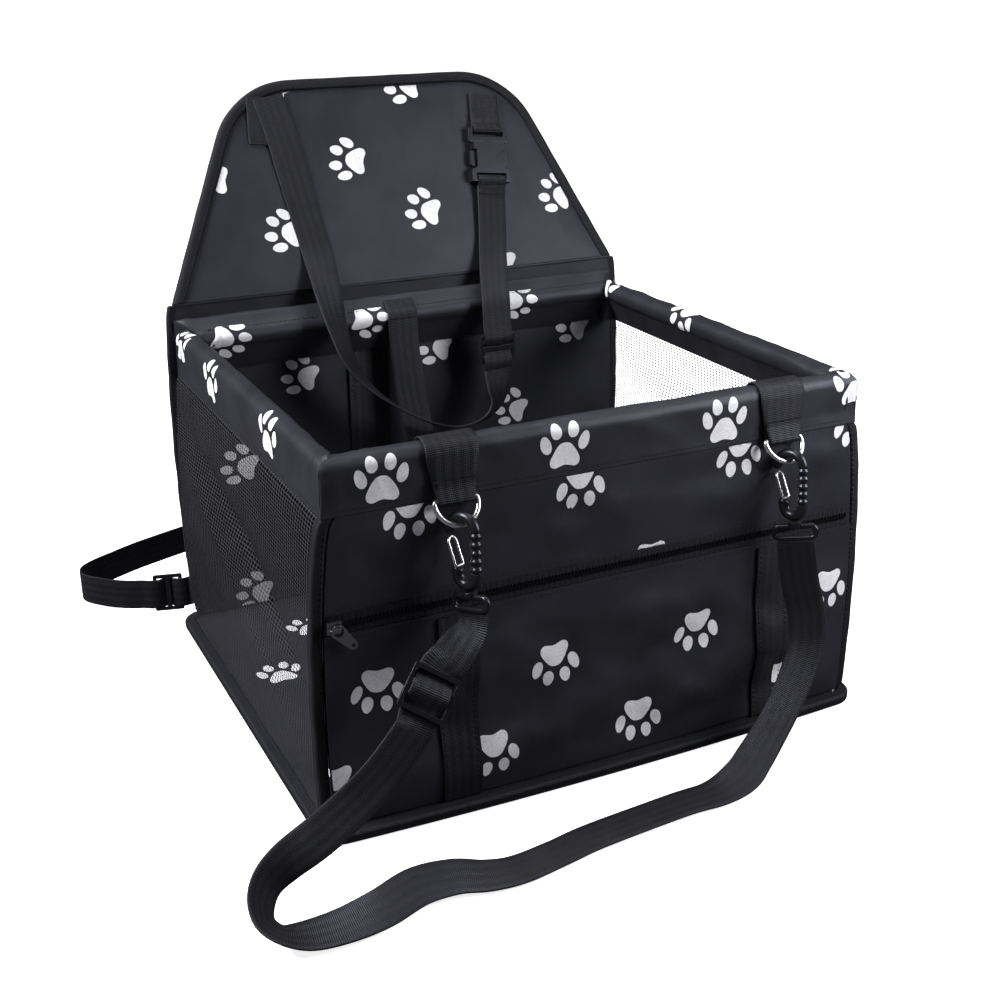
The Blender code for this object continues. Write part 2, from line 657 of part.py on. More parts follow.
def make_net(name, side, mesh_cloth):
    bm = bmesh.new()
    alongs, ups = net_shares(NET_COLUMNS), net_shares(NET_ROWS)
    grids = []
    for outer in (True, False):
        grids.append([[bm.verts.new(net_point(side, a, u, outer)) for a in alongs] for u in ups])
    near, far = grids
    rows, columns = len(ups) - 1, len(alongs) - 1

    def solid(j, i):
        return 0 <= j < rows and 0 <= i < columns and not (j % 2 == 1 and i % 2 == 1)

    for j in range(rows):
        for i in range(columns):
            if not solid(j, i):
                continue
            corners = ((j, i), (j, i + 1), (j + 1, i + 1), (j + 1, i))
            bm.faces.new([near[b][a] for b, a in corners])
            bm.faces.new([far[b][a] for b, a in reversed(corners)])
            neighbours = ((j - 1, i), (j, i + 1), (j + 1, i), (j, i - 1))
            for k, neighbour in enumerate(neighbours):
                if solid(*neighbour):
                    continue
                (b0, a0), (b1, a1) = corners[k], corners[(k + 1) % 4]
                bm.faces.new((near[b1][a1], near[b0][a0], far[b0][a0], far[b1][a1]))
    piece(name, bm, mesh_cloth)


# Rim
def sleeve_profile(back):
    """Outline of a sleeve about its tube, u outwards and v up."""
    tail = [(SLEEVE_RADIUS - SLEEVE_TAIL, -SLEEVE_DROP), (SLEEVE_RADIUS, -SLEEVE_DROP)]
    if back:
        head = [(SLEEVE_RADIUS, SLEEVE_RISE), (SLEEVE_RADIUS - SLEEVE_TAIL, SLEEVE_RISE)]
        return arc((0, 0), SLEEVE_RADIUS, 360 - TAIL_TURN, TAIL_TURN, 10) + tail + head
    return arc((0, 0), SLEEVE_RADIUS, 0, TAIL_TURN, 18) + tail


def dense(outline, step):
    """Adds points to an outline so that no two are further apart round its middle than a step."""
    filled = []
    for i, start in enumerate(outline):
        end = outline[(i + 1) % len(outline)]
        turn = math.degrees(math.atan2(end[1], end[0]) - math.atan2(start[1], start[0]))
        parts = max(math.ceil(abs((turn + 180) % 360 - 180) / step), 1)
        filled += [(start[0] + (end[0] - start[0]) * k / parts, start[1] + (end[1] - start[1]) * k / parts)
                   for k in range(parts)]
    return filled


def rim_places():
    """Yields each side of the rim: name, its own half length, and where (u, v, w) lies."""
    x, y, z = TUBE_HALF_X, TUBE_HALF_Y, TUBE_HEIGHT
    yield "front", x, lambda u, v, w: Vector((w, -y - u, z + v))
    yield "back", x, lambda u, v, w: Vector((-w, y + u, z + v))
    yield "left", y, lambda u, v, w: Vector((-x - u, -w, z + v))
    yield "right", y, lambda u, v, w: Vector((x + u, w, z + v))


def make_rim(cloth, pipe, fitting):
    bore = TUBE_RADIUS + GAP
    for side, half, place in rim_places():
        outer = dense(sleeve_profile(side == "back"), TURN_STEP)
        inner = []
        for u, v in outer:
            turn = math.atan2(v, u)
            inner.append((bore * math.cos(turn), bore * math.sin(turn)))
        loops = []
        for outline, end in ((outer, -1), (outer, 1), (inner, 1), (inner, -1)):
            loops.append([place(u, v, end * (half + u - GAP)) for u, v in outline])
        piece("sleeve_" + side, bridged(loops, ring=True), cloth, smooth=50)
        reach = half - ELBOW_ARM
        loops = []
        for radius, end in ((TUBE_RADIUS, -1), (TUBE_RADIUS, 1), (TUBE_RADIUS - TUBE_WALL, 1),
                            (TUBE_RADIUS - TUBE_WALL, -1)):
            loops.append([place(u, v, end * reach) for u, v in arc((0, 0), radius, 0, 345, 15)])
        piece("rim_tube_" + side, bridged(loops, ring=True), pipe, smooth=50)

    spigot = TUBE_RADIUS - TUBE_WALL - GAP
    shoulder = ELBOW_ARM - GAP
    for name, sx, sy in (
        ("front_left", -1, -1), ("front_right", 1, -1), ("back_left", -1, 1), ("back_right", 1, 1),
    ):
        corner = Vector((sx * TUBE_HALF_X, sy * TUBE_HALF_Y, TUBE_HEIGHT))
        loops = []
        for arm, radius, distance in (
            ("x", spigot, shoulder + SPIGOT_LENGTH), ("x", spigot, shoulder), ("x", TUBE_RADIUS, shoulder),
            ("mitre", TUBE_RADIUS, 0),
            ("y", TUBE_RADIUS, shoulder), ("y", spigot, shoulder), ("y", spigot, shoulder + SPIGOT_LENGTH),
        ):
            loop = []
            for u, v in arc((0, 0), radius, 0, 345, 15):
                if arm == "x":
                    loop.append(corner + Vector((-sx * distance, sy * u, v)))
                elif arm == "y":
                    loop.append(corner + Vector((sx * u, -sy * distance, v)))
                else:
                    loop.append(corner + Vector((sx * u, sy * u, v)))
            loops.append(loop)
        piece("rim_elbow_" + name, bridged(loops), fitting, smooth=50)


# Head flap, in its own frame: u across, v up along the flap, w out of its front face
def flap_outline(inset, foot):
    """Half outline points from the foot up and over, then mirrored."""
    side = Vector((FLAP_HALF_TOP - FLAP_HALF_BOTTOM, FLAP_LENGTH)).normalized()
    normal = Vector((side.y, -side.x))
    start = Vector((FLAP_HALF_BOTTOM, 0)) - normal * inset
    radius = FLAP_CORNER - inset
    lean = math.degrees(math.atan2(normal.y, normal.x))
    centre_v = FLAP_LENGTH - inset - radius
    touch = start + side * ((centre_v + radius * normal.y - start.y) / side.y)
    centre_u = touch.x - radius * normal.x
    foot_point = start + side * ((foot - start.y) / side.y)
    right = [tuple(foot_point)] + arc((centre_u, centre_v), radius, lean, 90, 8)
    return right + [(-u, v) for u, v in reversed(right)]


def flap_place(u, v, w):
    return Vector((u, -w, v)) + FLAP_SET


def make_flap(cloth, bound, web, plastic):
    hinge = pivot("flap_hinge", (0, BACK_Y, HINGE_HEIGHT), (math.radians(-FLAP_LEAN), 0, 0))
    inner = flap_outline(FLAP_EDGE_WIDTH + GAP, SEAM_CLEAR)
    flap = piece("head_flap", prism(inner, -FLAP_THICK / 2, FLAP_THICK / 2, flap_place), cloth)
    flap.parent = hinge
    outer, rim = flap_outline(0, SEAM_CLEAR), flap_outline(FLAP_EDGE_WIDTH, SEAM_CLEAR)
    edge = outer + list(reversed(rim))
    half = FLAP_EDGE_THICK / 2
    band = piece("head_flap_binding", prism(edge, -half, half, flap_place), bound)
    band.parent = hinge
    make_buckle(hinge, web, plastic)


def make_buckle(hinge, web, plastic):
    skew = Matrix.Rotation(math.radians(BUCKLE_SKEW), 3, "Y")
    foot = Vector((BUCKLE_X - math.sin(math.radians(BUCKLE_SKEW)) * FEMALE_LENGTH / 2, 0, BUCKLE_BOTTOM))
    back = FLAP_THICK / 2 + BUCKLE_SEAT
    middle = back + BUCKLE_THICK / 2

    def place(u, v, w):
        return FLAP_SET + foot + skew @ Vector((u, 0, v)) + Vector((0, -w, 0))

    wide, waist, mouth = BUCKLE_WIDTH / 2, FEMALE_WAIST / 2, FEMALE_MOUTH / 2
    right = [(wide, 0), (wide, FEMALE_BAR_LENGTH), (waist, WAIST_LOW + GAP), (waist, WAIST_HIGH),
             (mouth, WAIST_HIGH), (mouth, FEMALE_LENGTH)]
    outline = right + [(-u, v) for u, v in reversed(right)]
    female = piece("buckle_female", prism(outline, back, back + BUCKLE_THICK, place), plastic)
    half = CAVITY_THICK / 2

    def cutter(u, low, high, w_low, w_high):
        corners = [(-u, low), (u, low), (u, high), (-u, high)]
        return piece("cutter", prism(corners, w_low, w_high, place), plastic)

    web_low = (FEMALE_BAR_LENGTH - WEB_SLOT_HEIGHT) / 2
    cut_with(female, [
        cutter(wide + OVERRUN, WAIST_LOW, WAIST_HIGH + 2 * GAP, middle - half, middle + half),
        cutter(CAVITY_MOUTH / 2, WAIST_HIGH, FEMALE_LENGTH + OVERRUN, middle - half, middle + half),
        cutter(WEB_SLOT / 2, web_low, web_low + WEB_SLOT_HEIGHT,
               back - OVERRUN, back + BUCKLE_THICK + OVERRUN),
    ])

    male_low = FEMALE_LENGTH + MALE_GAP
    male_high = male_low + MALE_HEIGHT
    tongue, floor_v = TONGUE_WIDTH / 2, FEMALE_LENGTH - TONGUE_LENGTH
    outline = [(-tongue, floor_v), (tongue, floor_v), (tongue, male_low), (wide, male_low), (wide, male_high),
               (-wide, male_high), (-wide, male_low), (-tongue, male_low)]
    male_half = PRONG_THICK / 2
    male = piece("buckle_male", prism(outline, middle - male_half, middle + male_half, place), plastic)
    slot_high = male_high - MALE_BAR
    slot_low = slot_high - WEB_SLOT_HEIGHT
    cut_with(male, [cutter(WEB_SLOT / 2, slot_low, slot_high, middle - wide, middle + wide)])

    root = male_low - GAP
    inner, bulge = CAVITY_MOUTH / 2, BUCKLE_WIDTH / 2
    prong = [
        (inner - 0.33 * inner, root), (inner - 0.11 * inner, root), (inner - 0.11 * inner, WAIST_HIGH + GAP),
        (bulge - GAP, WAIST_HIGH - 4 * GAP), (bulge, WAIST_LOW + 8 * GAP),
        (bulge - 8 * GAP, WAIST_LOW + 3 * GAP),
        (inner, WAIST_LOW + 3 * GAP), (inner + 4 * GAP, WAIST_LOW + 12 * GAP), (inner, WAIST_HIGH - 8 * GAP),
        (inner - 0.33 * inner, WAIST_HIGH - 2 * GAP),
    ]
    bodies = [female, male]
    for name, sign in (("buckle_prong_left", -1), ("buckle_prong_right", 1)):
        outline = [(sign * u, v) for u, v in prong]
        spot = place(sign * (inner - 0.22 * inner), root, middle)
        body = prism(outline, middle - male_half, middle + male_half, place)
        made = piece(name, body, plastic, origin=spot)
        bodies.append(made)
    tab_low = male_high + GAP
    tab_high = TAB_TOP - BUCKLE_BOTTOM
    tab_w = FLAP_THICK / 2 + GAP
    half = WEB_WIDTH / 2
    outline = [(-half, tab_low), (half, tab_low), (half, tab_high), (-half, tab_high)]
    bodies.append(piece("headrest_tab", prism(outline, tab_w, tab_w + 2 * WEB_THICK, place), web))
    for body in bodies:
        body.parent = hinge


# Webbing
def route_points(route):
    """Smooth curve through a route: centres and directions across, about WEB_STEP apart."""
    centres = [Vector(point) for point, _ in route]
    across = [Vector(turn).normalized() for _, turn in route]

    def blend(values, i, t):
        a = values[max(i - 1, 0)]
        b, c = values[i], values[i + 1]
        d = values[min(i + 2, len(values) - 1)]
        bend = (2 * a - 5 * b + 4 * c - d) * t ** 2 + (3 * b - a - 3 * c + d) * t ** 3
        return 0.5 * (2 * b + (c - a) * t + bend)

    fine = 24
    points, sides, marks = [], [], [0.0]
    for i in range(len(centres) - 1):
        for k in range(fine):
            points.append(blend(centres, i, k / fine))
            sides.append(blend(across, i, k / fine))
    points.append(centres[-1])
    sides.append(across[-1])
    for before, after in zip(points, points[1:]):
        marks.append(marks[-1] + (after - before).length)
    return points, sides, marks


def route_at(curve, mark):
    """Centre and frame of a route at a length along it: across, along, out."""
    points, sides, marks = curve
    i = max(k for k in range(len(marks) - 1) if marks[k] <= mark)
    share = (mark - marks[i]) / (marks[i + 1] - marks[i])
    centre = points[i].lerp(points[i + 1], share)
    step = max(i - 4, 0), min(i + 5, len(points) - 1)
    along = (points[step[1]] - points[step[0]]).normalized()
    across = sides[i].lerp(sides[i + 1], share)
    across = (across - along * across.dot(along)).normalized()
    return centre, across, along, across.cross(along)


def ribbon(name, route, web, glide=None, length=GLIDE_LENGTH):
    """A strap along its route; it weaves through a tri-glide slider at a given length."""
    curve = route_points(route)
    total = curve[2][-1]
    steps = round(total / WEB_STEP)
    stops = [total * i / steps for i in range(steps + 1)]
    if glide is not None:
        weave = (GLIDE_RETURN, length / 2, length / 2 - GLIDE_RAMP_END, GLIDE_RAMP_START)
        stops = [stop for stop in stops if abs(stop - glide) > GLIDE_RETURN + WEB_THICK]
        stops += [glide + sign * reach for reach in weave for sign in (-1, 1)]
        stops = sorted(stop for stop in stops if 0 <= stop <= total)
    loops = []
    for stop in stops:
        centre, across, along, out = route_at(curve, min(stop, total * (1 - 1e-6)))
        lift = 0
        if glide is not None:
            away = abs(stop - glide)
            if away <= length / 2 + GAP:
                middle, across, along, out = route_at(curve, glide)
                centre = middle + along * (stop - glide)
                lift = -GLIDE_LIFT if away <= GLIDE_RAMP_START + GAP else GLIDE_LIFT
        centre = centre + out * lift
        half_w, half_t = across * WEB_WIDTH / 2, out * WEB_THICK / 2
        loops.append([centre - half_w - half_t, centre + half_w - half_t, centre + half_w + half_t,
                      centre - half_w + half_t])
    return piece(name, strap_skin(loops), web, smooth=40)


def make_glide(name, route, mark, plastic, length=GLIDE_LENGTH):
    """A tri-glide slider: a frame with a bar across its middle, on a strap."""
    centre, across, along, out = route_at(route_points(route), mark)

    def place(u, v, w):
        return centre + across * u + along * v + out * w

    outline = rounded(GLIDE_WIDTH / 2, length / 2, GLIDE_RAIL / 2, 3)
    body = prism(outline, -GLIDE_THICK / 2, GLIDE_THICK / 2, place)
    frame = piece(name, body, plastic, origin=centre, smooth=40)
    slots = []
    for sign in (-1, 1):
        low, high = sorted((sign * GLIDE_BAR / 2, sign * (length / 2 - GLIDE_RAIL)))
        side = WEB_SLOT / 2
        corners = [(-side, low), (side, low), (side, high), (-side, high)]
        slots.append(prism(corners, -OVERRUN, OVERRUN, place))
    cut_with(frame, [piece("slot", slot, plastic) for slot in slots])
    return frame


# Loops over the front rim, with their D-rings
def make_ring_loop(name, x, web):
    half = WEB_THICK / 2
    hug = SLEEVE_RADIUS + GAP + half
    middle = (-TUBE_HALF_Y, TUBE_HEIGHT)
    over = arc((0, 0), hug, 215, 0, 14)
    path = [(middle[0] - u, middle[1] + v) for u, v in over]
    wrap = RING_WIRE + GAP + half
    path += [(-RING_Y + u, RING_HEIGHT + v) for u, v in arc((0, 0), wrap, 0, -180, 8)]
    foot = RING_HEIGHT + LOOP_TAIL
    path += [(path[15][0] - WEB_THICK - GAP, foot - LOOP_TAIL / 3), (path[15][0] - WEB_THICK - GAP, foot)]
    loops = []
    total = len(path) - 1
    for i, (y, z) in enumerate(path):
        before, after = path[max(i - 1, 0)], path[min(i + 1, total)]
        along = Vector((after[0] - before[0], after[1] - before[1])).normalized()
        side = Vector((-along.y, along.x)) * half
        share = min(max((TUBE_HEIGHT - z) / (TUBE_HEIGHT - RING_HEIGHT), 0), 1) if i > 14 else 0
        wide = (LOOP_WIDTH + (LOOP_FOOT_WIDTH - LOOP_WIDTH) * share) / 2
        loops.append([Vector((x - wide, y - side.x, z - side.y)), Vector((x + wide, y - side.x, z - side.y)),
                      Vector((x + wide, y + side.x, z + side.y)), Vector((x - wide, y + side.x, z + side.y))])
    piece(name, bridged(loops), web, smooth=50)


def make_ring(side, x, metal):
    """A D-ring about its straight bar, tilted out from the wall."""
    spot = Vector((x, -RING_Y, RING_HEIGHT))
    tilt = Matrix.Rotation(math.radians(-RING_TILTS[side]), 3, "X")
    path = arc((0, -RING_LEG), RING_ARC, 180, 360, 16)
    path += arc((RING_ARC - RING_CORNER, -RING_CORNER), RING_CORNER, 0, 90, 3)[1:]
    path += arc((-RING_ARC + RING_CORNER, -RING_CORNER), RING_CORNER, 90, 180, 3)[:-1]
    ring = tube(path, RING_WIRE, 8, lambda u, v, w: spot + tilt @ Vector((u, w, v)), ring=True)
    return piece("d_ring_" + side, ring, metal, origin=spot, smooth=60)


# Snap hooks, in their own frame: u from the gate to the spine, v up, w across
def hook_body_path():
    """Centre line and radii from the nose over the arch, down the ribbed spine and round the foot."""
    path = arc((0, HOOK_TALL), HOOK_ARC, HOOK_NOSE_TURN, 0, 12)
    radii = [HOOK_SECTION] * len(path)
    spine = HOOK_RIBS * 4
    for i in range(1, spine):
        share = i / spine
        path.append((HOOK_ARC + (HOOK_FOOT_ARC - HOOK_ARC) * share,
                     HOOK_TALL + (HOOK_FOOT - HOOK_TALL) * share))
        radii.append(HOOK_SECTION + (HOOK_RIB_RISE if i % 4 == 2 else 0))
    foot = arc((0, HOOK_FOOT), HOOK_FOOT_ARC, 0, -180 - HOOK_HEEL_TURN, 12)
    path += foot
    radii += [HOOK_FOOT_SECTION] * len(foot)
    return path, radii


def gate_foot():
    """Where the gate's pivot bar lies on the end face of the heel."""
    turn = math.radians(-180 - HOOK_HEEL_TURN)
    heel = arc((0, HOOK_FOOT), HOOK_FOOT_ARC, 0, -180 - HOOK_HEEL_TURN, 1)[-1]
    seat = GAP + GATE_WIRE
    return heel[0] + seat * math.sin(turn), heel[1] - seat * math.cos(turn)


def gate_top():
    """Where the gate's end lies just under the nose."""
    turn = math.radians(HOOK_NOSE_TURN)
    nose = HOOK_ARC * math.cos(turn), HOOK_TALL + HOOK_ARC * math.sin(turn)
    return nose[0], nose[1] - HOOK_SECTION * abs(math.cos(turn)) * 0.15 - 2 * GAP - GATE_WIRE


def make_gate(name, place, metal):
    low, high = gate_foot(), gate_top()
    length = Vector((high[0] - low[0], high[1] - low[1])).length
    along = Vector((high[0] - low[0], high[1] - low[1])).normalized()
    across = Vector((along.y, -along.x))
    path = arc((0, length - GATE_HALF), GATE_HALF, 180, 0, 8)
    path += arc((GATE_HALF - GATE_CORNER, GATE_CORNER), GATE_CORNER, 0, -90, 3)
    path += arc((GATE_CORNER - GATE_HALF, GATE_CORNER), GATE_CORNER, -90, -180, 3)

    def stand(u, v, w):
        return place(low[0] + along.x * v + across.x * w, low[1] + along.y * v + across.y * w, u)

    wire = tube(path, GATE_WIRE, 8, stand, ring=True)
    return piece(name, wire, metal, origin=place(low[0], low[1], 0), smooth=60)


def make_hook(side, x, ring, plastic, metal):
    """A snap hook that hangs in a D-ring: body, wire gate and swivel eye."""
    ring_low = RING_LEG + RING_ARC
    tilt = math.radians(RING_TILTS[side])
    wire = Vector((x, -RING_Y - ring_low * math.sin(tilt), RING_HEIGHT - ring_low * math.cos(tilt)))
    hang = HOOK_TALL + HOOK_ARC - HOOK_SECTION - RING_WIRE - GAP - GAP
    lean = Matrix.Rotation(math.radians(-HOOK_TILT), 3, "X")
    foot = wire - lean @ Vector((0, 0, hang))
    turn = lean @ Matrix.Rotation(math.radians(HOOK_YAWS[side]), 3, "Z")

    def place(u, v, w):
        return foot + turn @ Vector((u, w, v))

    path, radii = hook_body_path()
    axis = pivot(side + "_hook_swivel", foot)
    body = piece(side + "_hook", tube(path, radii, 10, place), plastic, origin=foot, smooth=50)
    gate = make_gate(side + "_hook_gate", place, metal)
    hold(gate, body)

    # The swivel eye: a collar under the foot and a loop for the webbing
    swing = lean @ Matrix.Rotation(math.radians(EYE_YAWS[side]), 3, "Z")
    top = HOOK_FOOT - HOOK_FOOT_ARC - HOOK_FOOT_SECTION - GAP

    def seat(u, v, w):
        return foot + swing @ Vector((u, w, top + v))

    bar = EYE_COLLAR_HEIGHT + EYE_WIRE / 2
    path = rounded(EYE_HALF, EYE_DROP / 2, EYE_CORNER, 4)
    path = [(u, v - bar - EYE_DROP / 2) for u, v in path]
    eye = piece(side + "_hook_eye", tube(path, EYE_WIRE, 8, seat, ring=True), plastic, origin=foot, smooth=50)
    rim = arc((0, 0), EYE_COLLAR, 0, 330, 11)
    collar = [[seat(u, v, w) for u, w in rim] for v in (-bar - EYE_WIRE / 2, 0)]
    cut_with(eye, [piece("collar", bridged(collar), plastic)], "UNION")
    hold(body, axis)
    hold(axis, ring)
    hold(eye, ring)


def make_leash(web, plastic, metal):
    # The tab follows the rounded face of the back sleeve
    hug = SLEEVE_RADIUS + GAP + WEB_THICK / 2
    arc_points = arc((0, 0), hug, 360 - TAIL_TURN, 180, 6)
    middle = (TUBE_HALF_Y, TUBE_HEIGHT)
    path = [(middle[0] + u, middle[1] + v) for u, v in arc_points]
    rise = Vector((SLEEVE_RADIUS - SLEEVE_TAIL, SLEEVE_RISE))
    start = Vector(arc((0, 0), SLEEVE_RADIUS, 360 - TAIL_TURN, 0, 1)[0])
    slope = (rise - start).normalized()
    high = Vector(path[0]) + slope * (rise - start).length * 0.55
    loops = []
    path = [tuple(high)] + path
    for i, (y, z) in enumerate(path):
        before, after = path[max(i - 1, 0)], path[min(i + 1, len(path) - 1)]
        along = Vector((after[0] - before[0], after[1] - before[1])).normalized()
        side = Vector((-along.y, along.x)) * WEB_THICK / 2
        low, high = LEASH_X - WEB_WIDTH / 2, LEASH_X + WEB_WIDTH / 2
        loops.append([Vector((low, y - side.x, z - side.y)), Vector((high, y - side.x, z - side.y)),
                      Vector((high, y + side.x, z + side.y)), Vector((low, y + side.x, z + side.y))])
    piece("leash_tab", bridged(loops), web, smooth=50)
    ribbon("leash_strap", LEASH_ROUTE, web)

    # The leash hook lies flat on the floor panel, its fixed eye towards the strap
    turn = Matrix.Rotation(math.radians(LEASH_HOOK_TURN), 3, "Z")
    level = FLOOR_TOP + max(HOOK_FOOT_SECTION + HOOK_RIB_RISE, GATE_HALF + GATE_WIRE) + GAP
    spot = Vector((*LEASH_HOOK_SPOT, level))

    def place(u, v, w):
        return spot + turn @ Vector((u, v, w))

    path, radii = hook_body_path()
    body = piece("leash_hook", tube(path, radii, 10, place), plastic, origin=spot, smooth=50)
    neck = HOOK_FOOT - HOOK_FOOT_ARC - HOOK_FOOT_SECTION
    path = rounded(EYE_HALF, EYE_DROP / 2, EYE_CORNER, 4)
    path = [(u, v + neck - EYE_DROP / 2 + EYE_WIRE / 2) for u, v in path]
    eye = piece("eye", tube(path, EYE_WIRE, 8, place, ring=True), plastic)
    cut_with(body, [eye], "UNION")
    gate = make_gate("leash_hook_gate", place, metal)
    hold(gate, body)


def make_straps(web, plastic):
    ribbon("lead_strap", LEAD_ROUTE, web, LEAD_GLIDE_AT, LEAD_GLIDE_LENGTH)
    make_glide("lead_slider", LEAD_ROUTE, LEAD_GLIDE_AT, plastic, LEAD_GLIDE_LENGTH)
    ribbon("headrest_strap", STRAP_ROUTE, web)
    ribbon("headrest_run", RUN_ROUTE, web, RUN_GLIDE_AT)
    make_glide("headrest_slider", RUN_ROUTE, RUN_GLIDE_AT, plastic)
    ribbon("waist_strap", WAIST_ROUTE, web, WAIST_GLIDE_AT)
    make_glide("waist_slider", WAIST_ROUTE, WAIST_GLIDE_AT, plastic)


def main():
    for old in list(bpy.data.objects):
        bpy.data.objects.remove(old)
    cloth = material("black_cloth", (0.045, 0.045, 0.055), 0.75)
    bound = material("binding_tape", (0.035, 0.035, 0.042), 0.80)
    web = material("webbing", (0.028, 0.028, 0.034), 0.70)
    net = material("mesh_cloth", (0.060, 0.060, 0.070), 0.70)
    board = material("grey_board", (0.30, 0.30, 0.30), 0.60)
    plastic = material("black_plastic", (0.030, 0.030, 0.034), 0.35)
    pipe = material("grey_pipe", (0.45, 0.45, 0.45), 0.45)
    nickel = material("nickel", (0.75, 0.74, 0.72), 0.22, 1.0)
    dark_metal = material("dark_metal", (0.25, 0.25, 0.26), 0.35, 1.0)
    make_base(cloth, board, bound)
    make_front(cloth, web, plastic, dark_metal)
    make_back(cloth, web)
    make_corner_bindings(bound)
    make_net("left_mesh", -1, net)
    make_net("right_mesh", 1, net)
    make_rim(cloth, pipe, plastic)
    make_flap(cloth, bound, web, plastic)
    for side, x in (("left", LOOP_LEFT_X), ("right", LOOP_RIGHT_X)):
        make_ring_loop("ring_loop_" + side, x, web)
        make_hook(side, x, make_ring(side, x, nickel), plastic, nickel)
    make_leash(web, plastic, nickel)
    make_straps(web, plastic)


main()
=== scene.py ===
import math

import bpy
from mathutils import Matrix, Vector, noise


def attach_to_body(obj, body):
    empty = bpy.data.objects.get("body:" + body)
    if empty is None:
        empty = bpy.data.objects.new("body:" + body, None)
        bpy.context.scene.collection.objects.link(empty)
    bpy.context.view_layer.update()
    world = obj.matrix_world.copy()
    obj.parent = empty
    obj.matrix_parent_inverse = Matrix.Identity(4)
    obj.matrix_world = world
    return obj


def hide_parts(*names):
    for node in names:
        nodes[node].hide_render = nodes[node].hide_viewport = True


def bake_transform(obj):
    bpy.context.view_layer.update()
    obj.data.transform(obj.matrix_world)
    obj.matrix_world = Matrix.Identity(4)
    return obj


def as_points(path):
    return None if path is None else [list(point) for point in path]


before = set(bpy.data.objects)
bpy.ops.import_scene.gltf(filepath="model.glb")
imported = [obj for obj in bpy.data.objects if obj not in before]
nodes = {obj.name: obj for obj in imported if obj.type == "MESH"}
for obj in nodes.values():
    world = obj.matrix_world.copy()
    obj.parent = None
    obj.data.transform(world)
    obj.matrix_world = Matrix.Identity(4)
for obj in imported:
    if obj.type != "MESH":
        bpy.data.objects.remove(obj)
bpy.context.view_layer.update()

scene = bpy.context.scene
print("frame loaded:", len(nodes), "nodes")


# Small helpers
def clamped(value, low, high):
    return min(max(value, low), high)


def easeIn(value, reach):
    share = clamped(value / reach, 0, 1)
    return share * share * (3 - 2 * share)


def mix(start, end, share):
    return tuple(a + (b - a) * share for a, b in zip(start, end))


def turned(u, v, turn):
    return u * math.cos(turn) - v * math.sin(turn), u * math.sin(turn) + v * math.cos(turn)


def arc(centre, radius, start, end, steps):
    points = []
    for i in range(steps + 1):
        turn = math.radians(start + (end - start) * i / steps)
        points.append((centre[0] + radius * math.cos(turn), centre[1] + radius * math.sin(turn)))
    return points


def roundedBox(halfU, halfV, radius, steps=4):
    points = []
    for cu, cv, start in ((1, 1, 0), (-1, 1, 90), (-1, -1, 180), (1, -1, 270)):
        points += arc((cu * (halfU - radius), cv * (halfV - radius)), radius, start, start + 90, steps)
    return points


def fillOutline(outline, step):
    # the same closed outline with a point at about every step
    filled = []
    for start, end in zip(outline, outline[1:] + outline[:1]):
        parts = max(int(math.dist(start, end) / step), 1)
        filled += [mix(start, end, k / parts) for k in range(parts)]
    return filled


def lengthMarks(points):
    # the distance along a line of points, at each point
    marks = [0.0]
    for before, after in zip(points, points[1:]):
        marks.append(marks[-1] + math.dist(before, after))
    return marks


def locate(marks, mark):
    # the stretch of the line that holds a distance, and the share of it
    k = 0
    while k < len(marks) - 2 and marks[k + 1] < mark:
        k += 1
    return k, (mark - marks[k]) / max(marks[k + 1] - marks[k], 1e-9)


def curveBetween(a, b, c, d, t):
    # a smooth curve that leaves b at t = 0 and reaches c at t = 1
    return 0.5 * (2 * b + (c - a) * t + (2 * a - 5 * b + 4 * c - d) * t ** 2
                  + (3 * b - a - 3 * c + d) * t ** 3)


def wrinkle(a, b, seed, size, depth):
    # a soft crease pattern that is the same each run
    spot = Vector((a / size, b / size, seed * 3.7))
    return depth * (noise.noise(spot) + 0.4 * noise.noise(spot * 2.3))


def deselectAll():
    for item in list(bpy.context.selected_objects):
        item.select_set(False)
    bpy.context.view_layer.objects.active = None


def pick(item):
    deselectAll()
    item.select_set(True)
    bpy.context.view_layer.objects.active = item


def joinTo(item, other):
    pick(item)
    other.select_set(True)
    bpy.ops.object.join()
    return item


def attach(item, body, node=None):
    # the piece moves with a body, and stands for a node if one is named
    if node:
        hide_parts(node)
    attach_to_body(item, body)
    return item


def meshItem(name, verts, faces, corners=None, layerName="cloth"):
    # corners gives a uv pair for each corner of each face
    mesh = bpy.data.meshes.new(name)
    mesh.from_pydata(verts, [], faces)
    if corners:
        for loop, pair in zip(mesh.uv_layers.new(name=layerName).data, corners):
            loop.uv = pair
    item = bpy.data.objects.new(name, mesh)
    scene.collection.objects.link(item)
    return item


def finishMesh(item, name, material, angle=45):
    pick(item)
    item.name = name
    item.data.name = name
    item.data.materials.clear()
    item.data.materials.append(material)
    bpy.ops.object.mode_set(mode="EDIT")
    bpy.ops.mesh.select_all(action="SELECT")
    bpy.ops.mesh.normals_make_consistent(inside=False)
    bpy.ops.object.mode_set(mode="OBJECT")
    bpy.ops.object.shade_smooth_by_angle(angle=math.radians(angle))
    return item


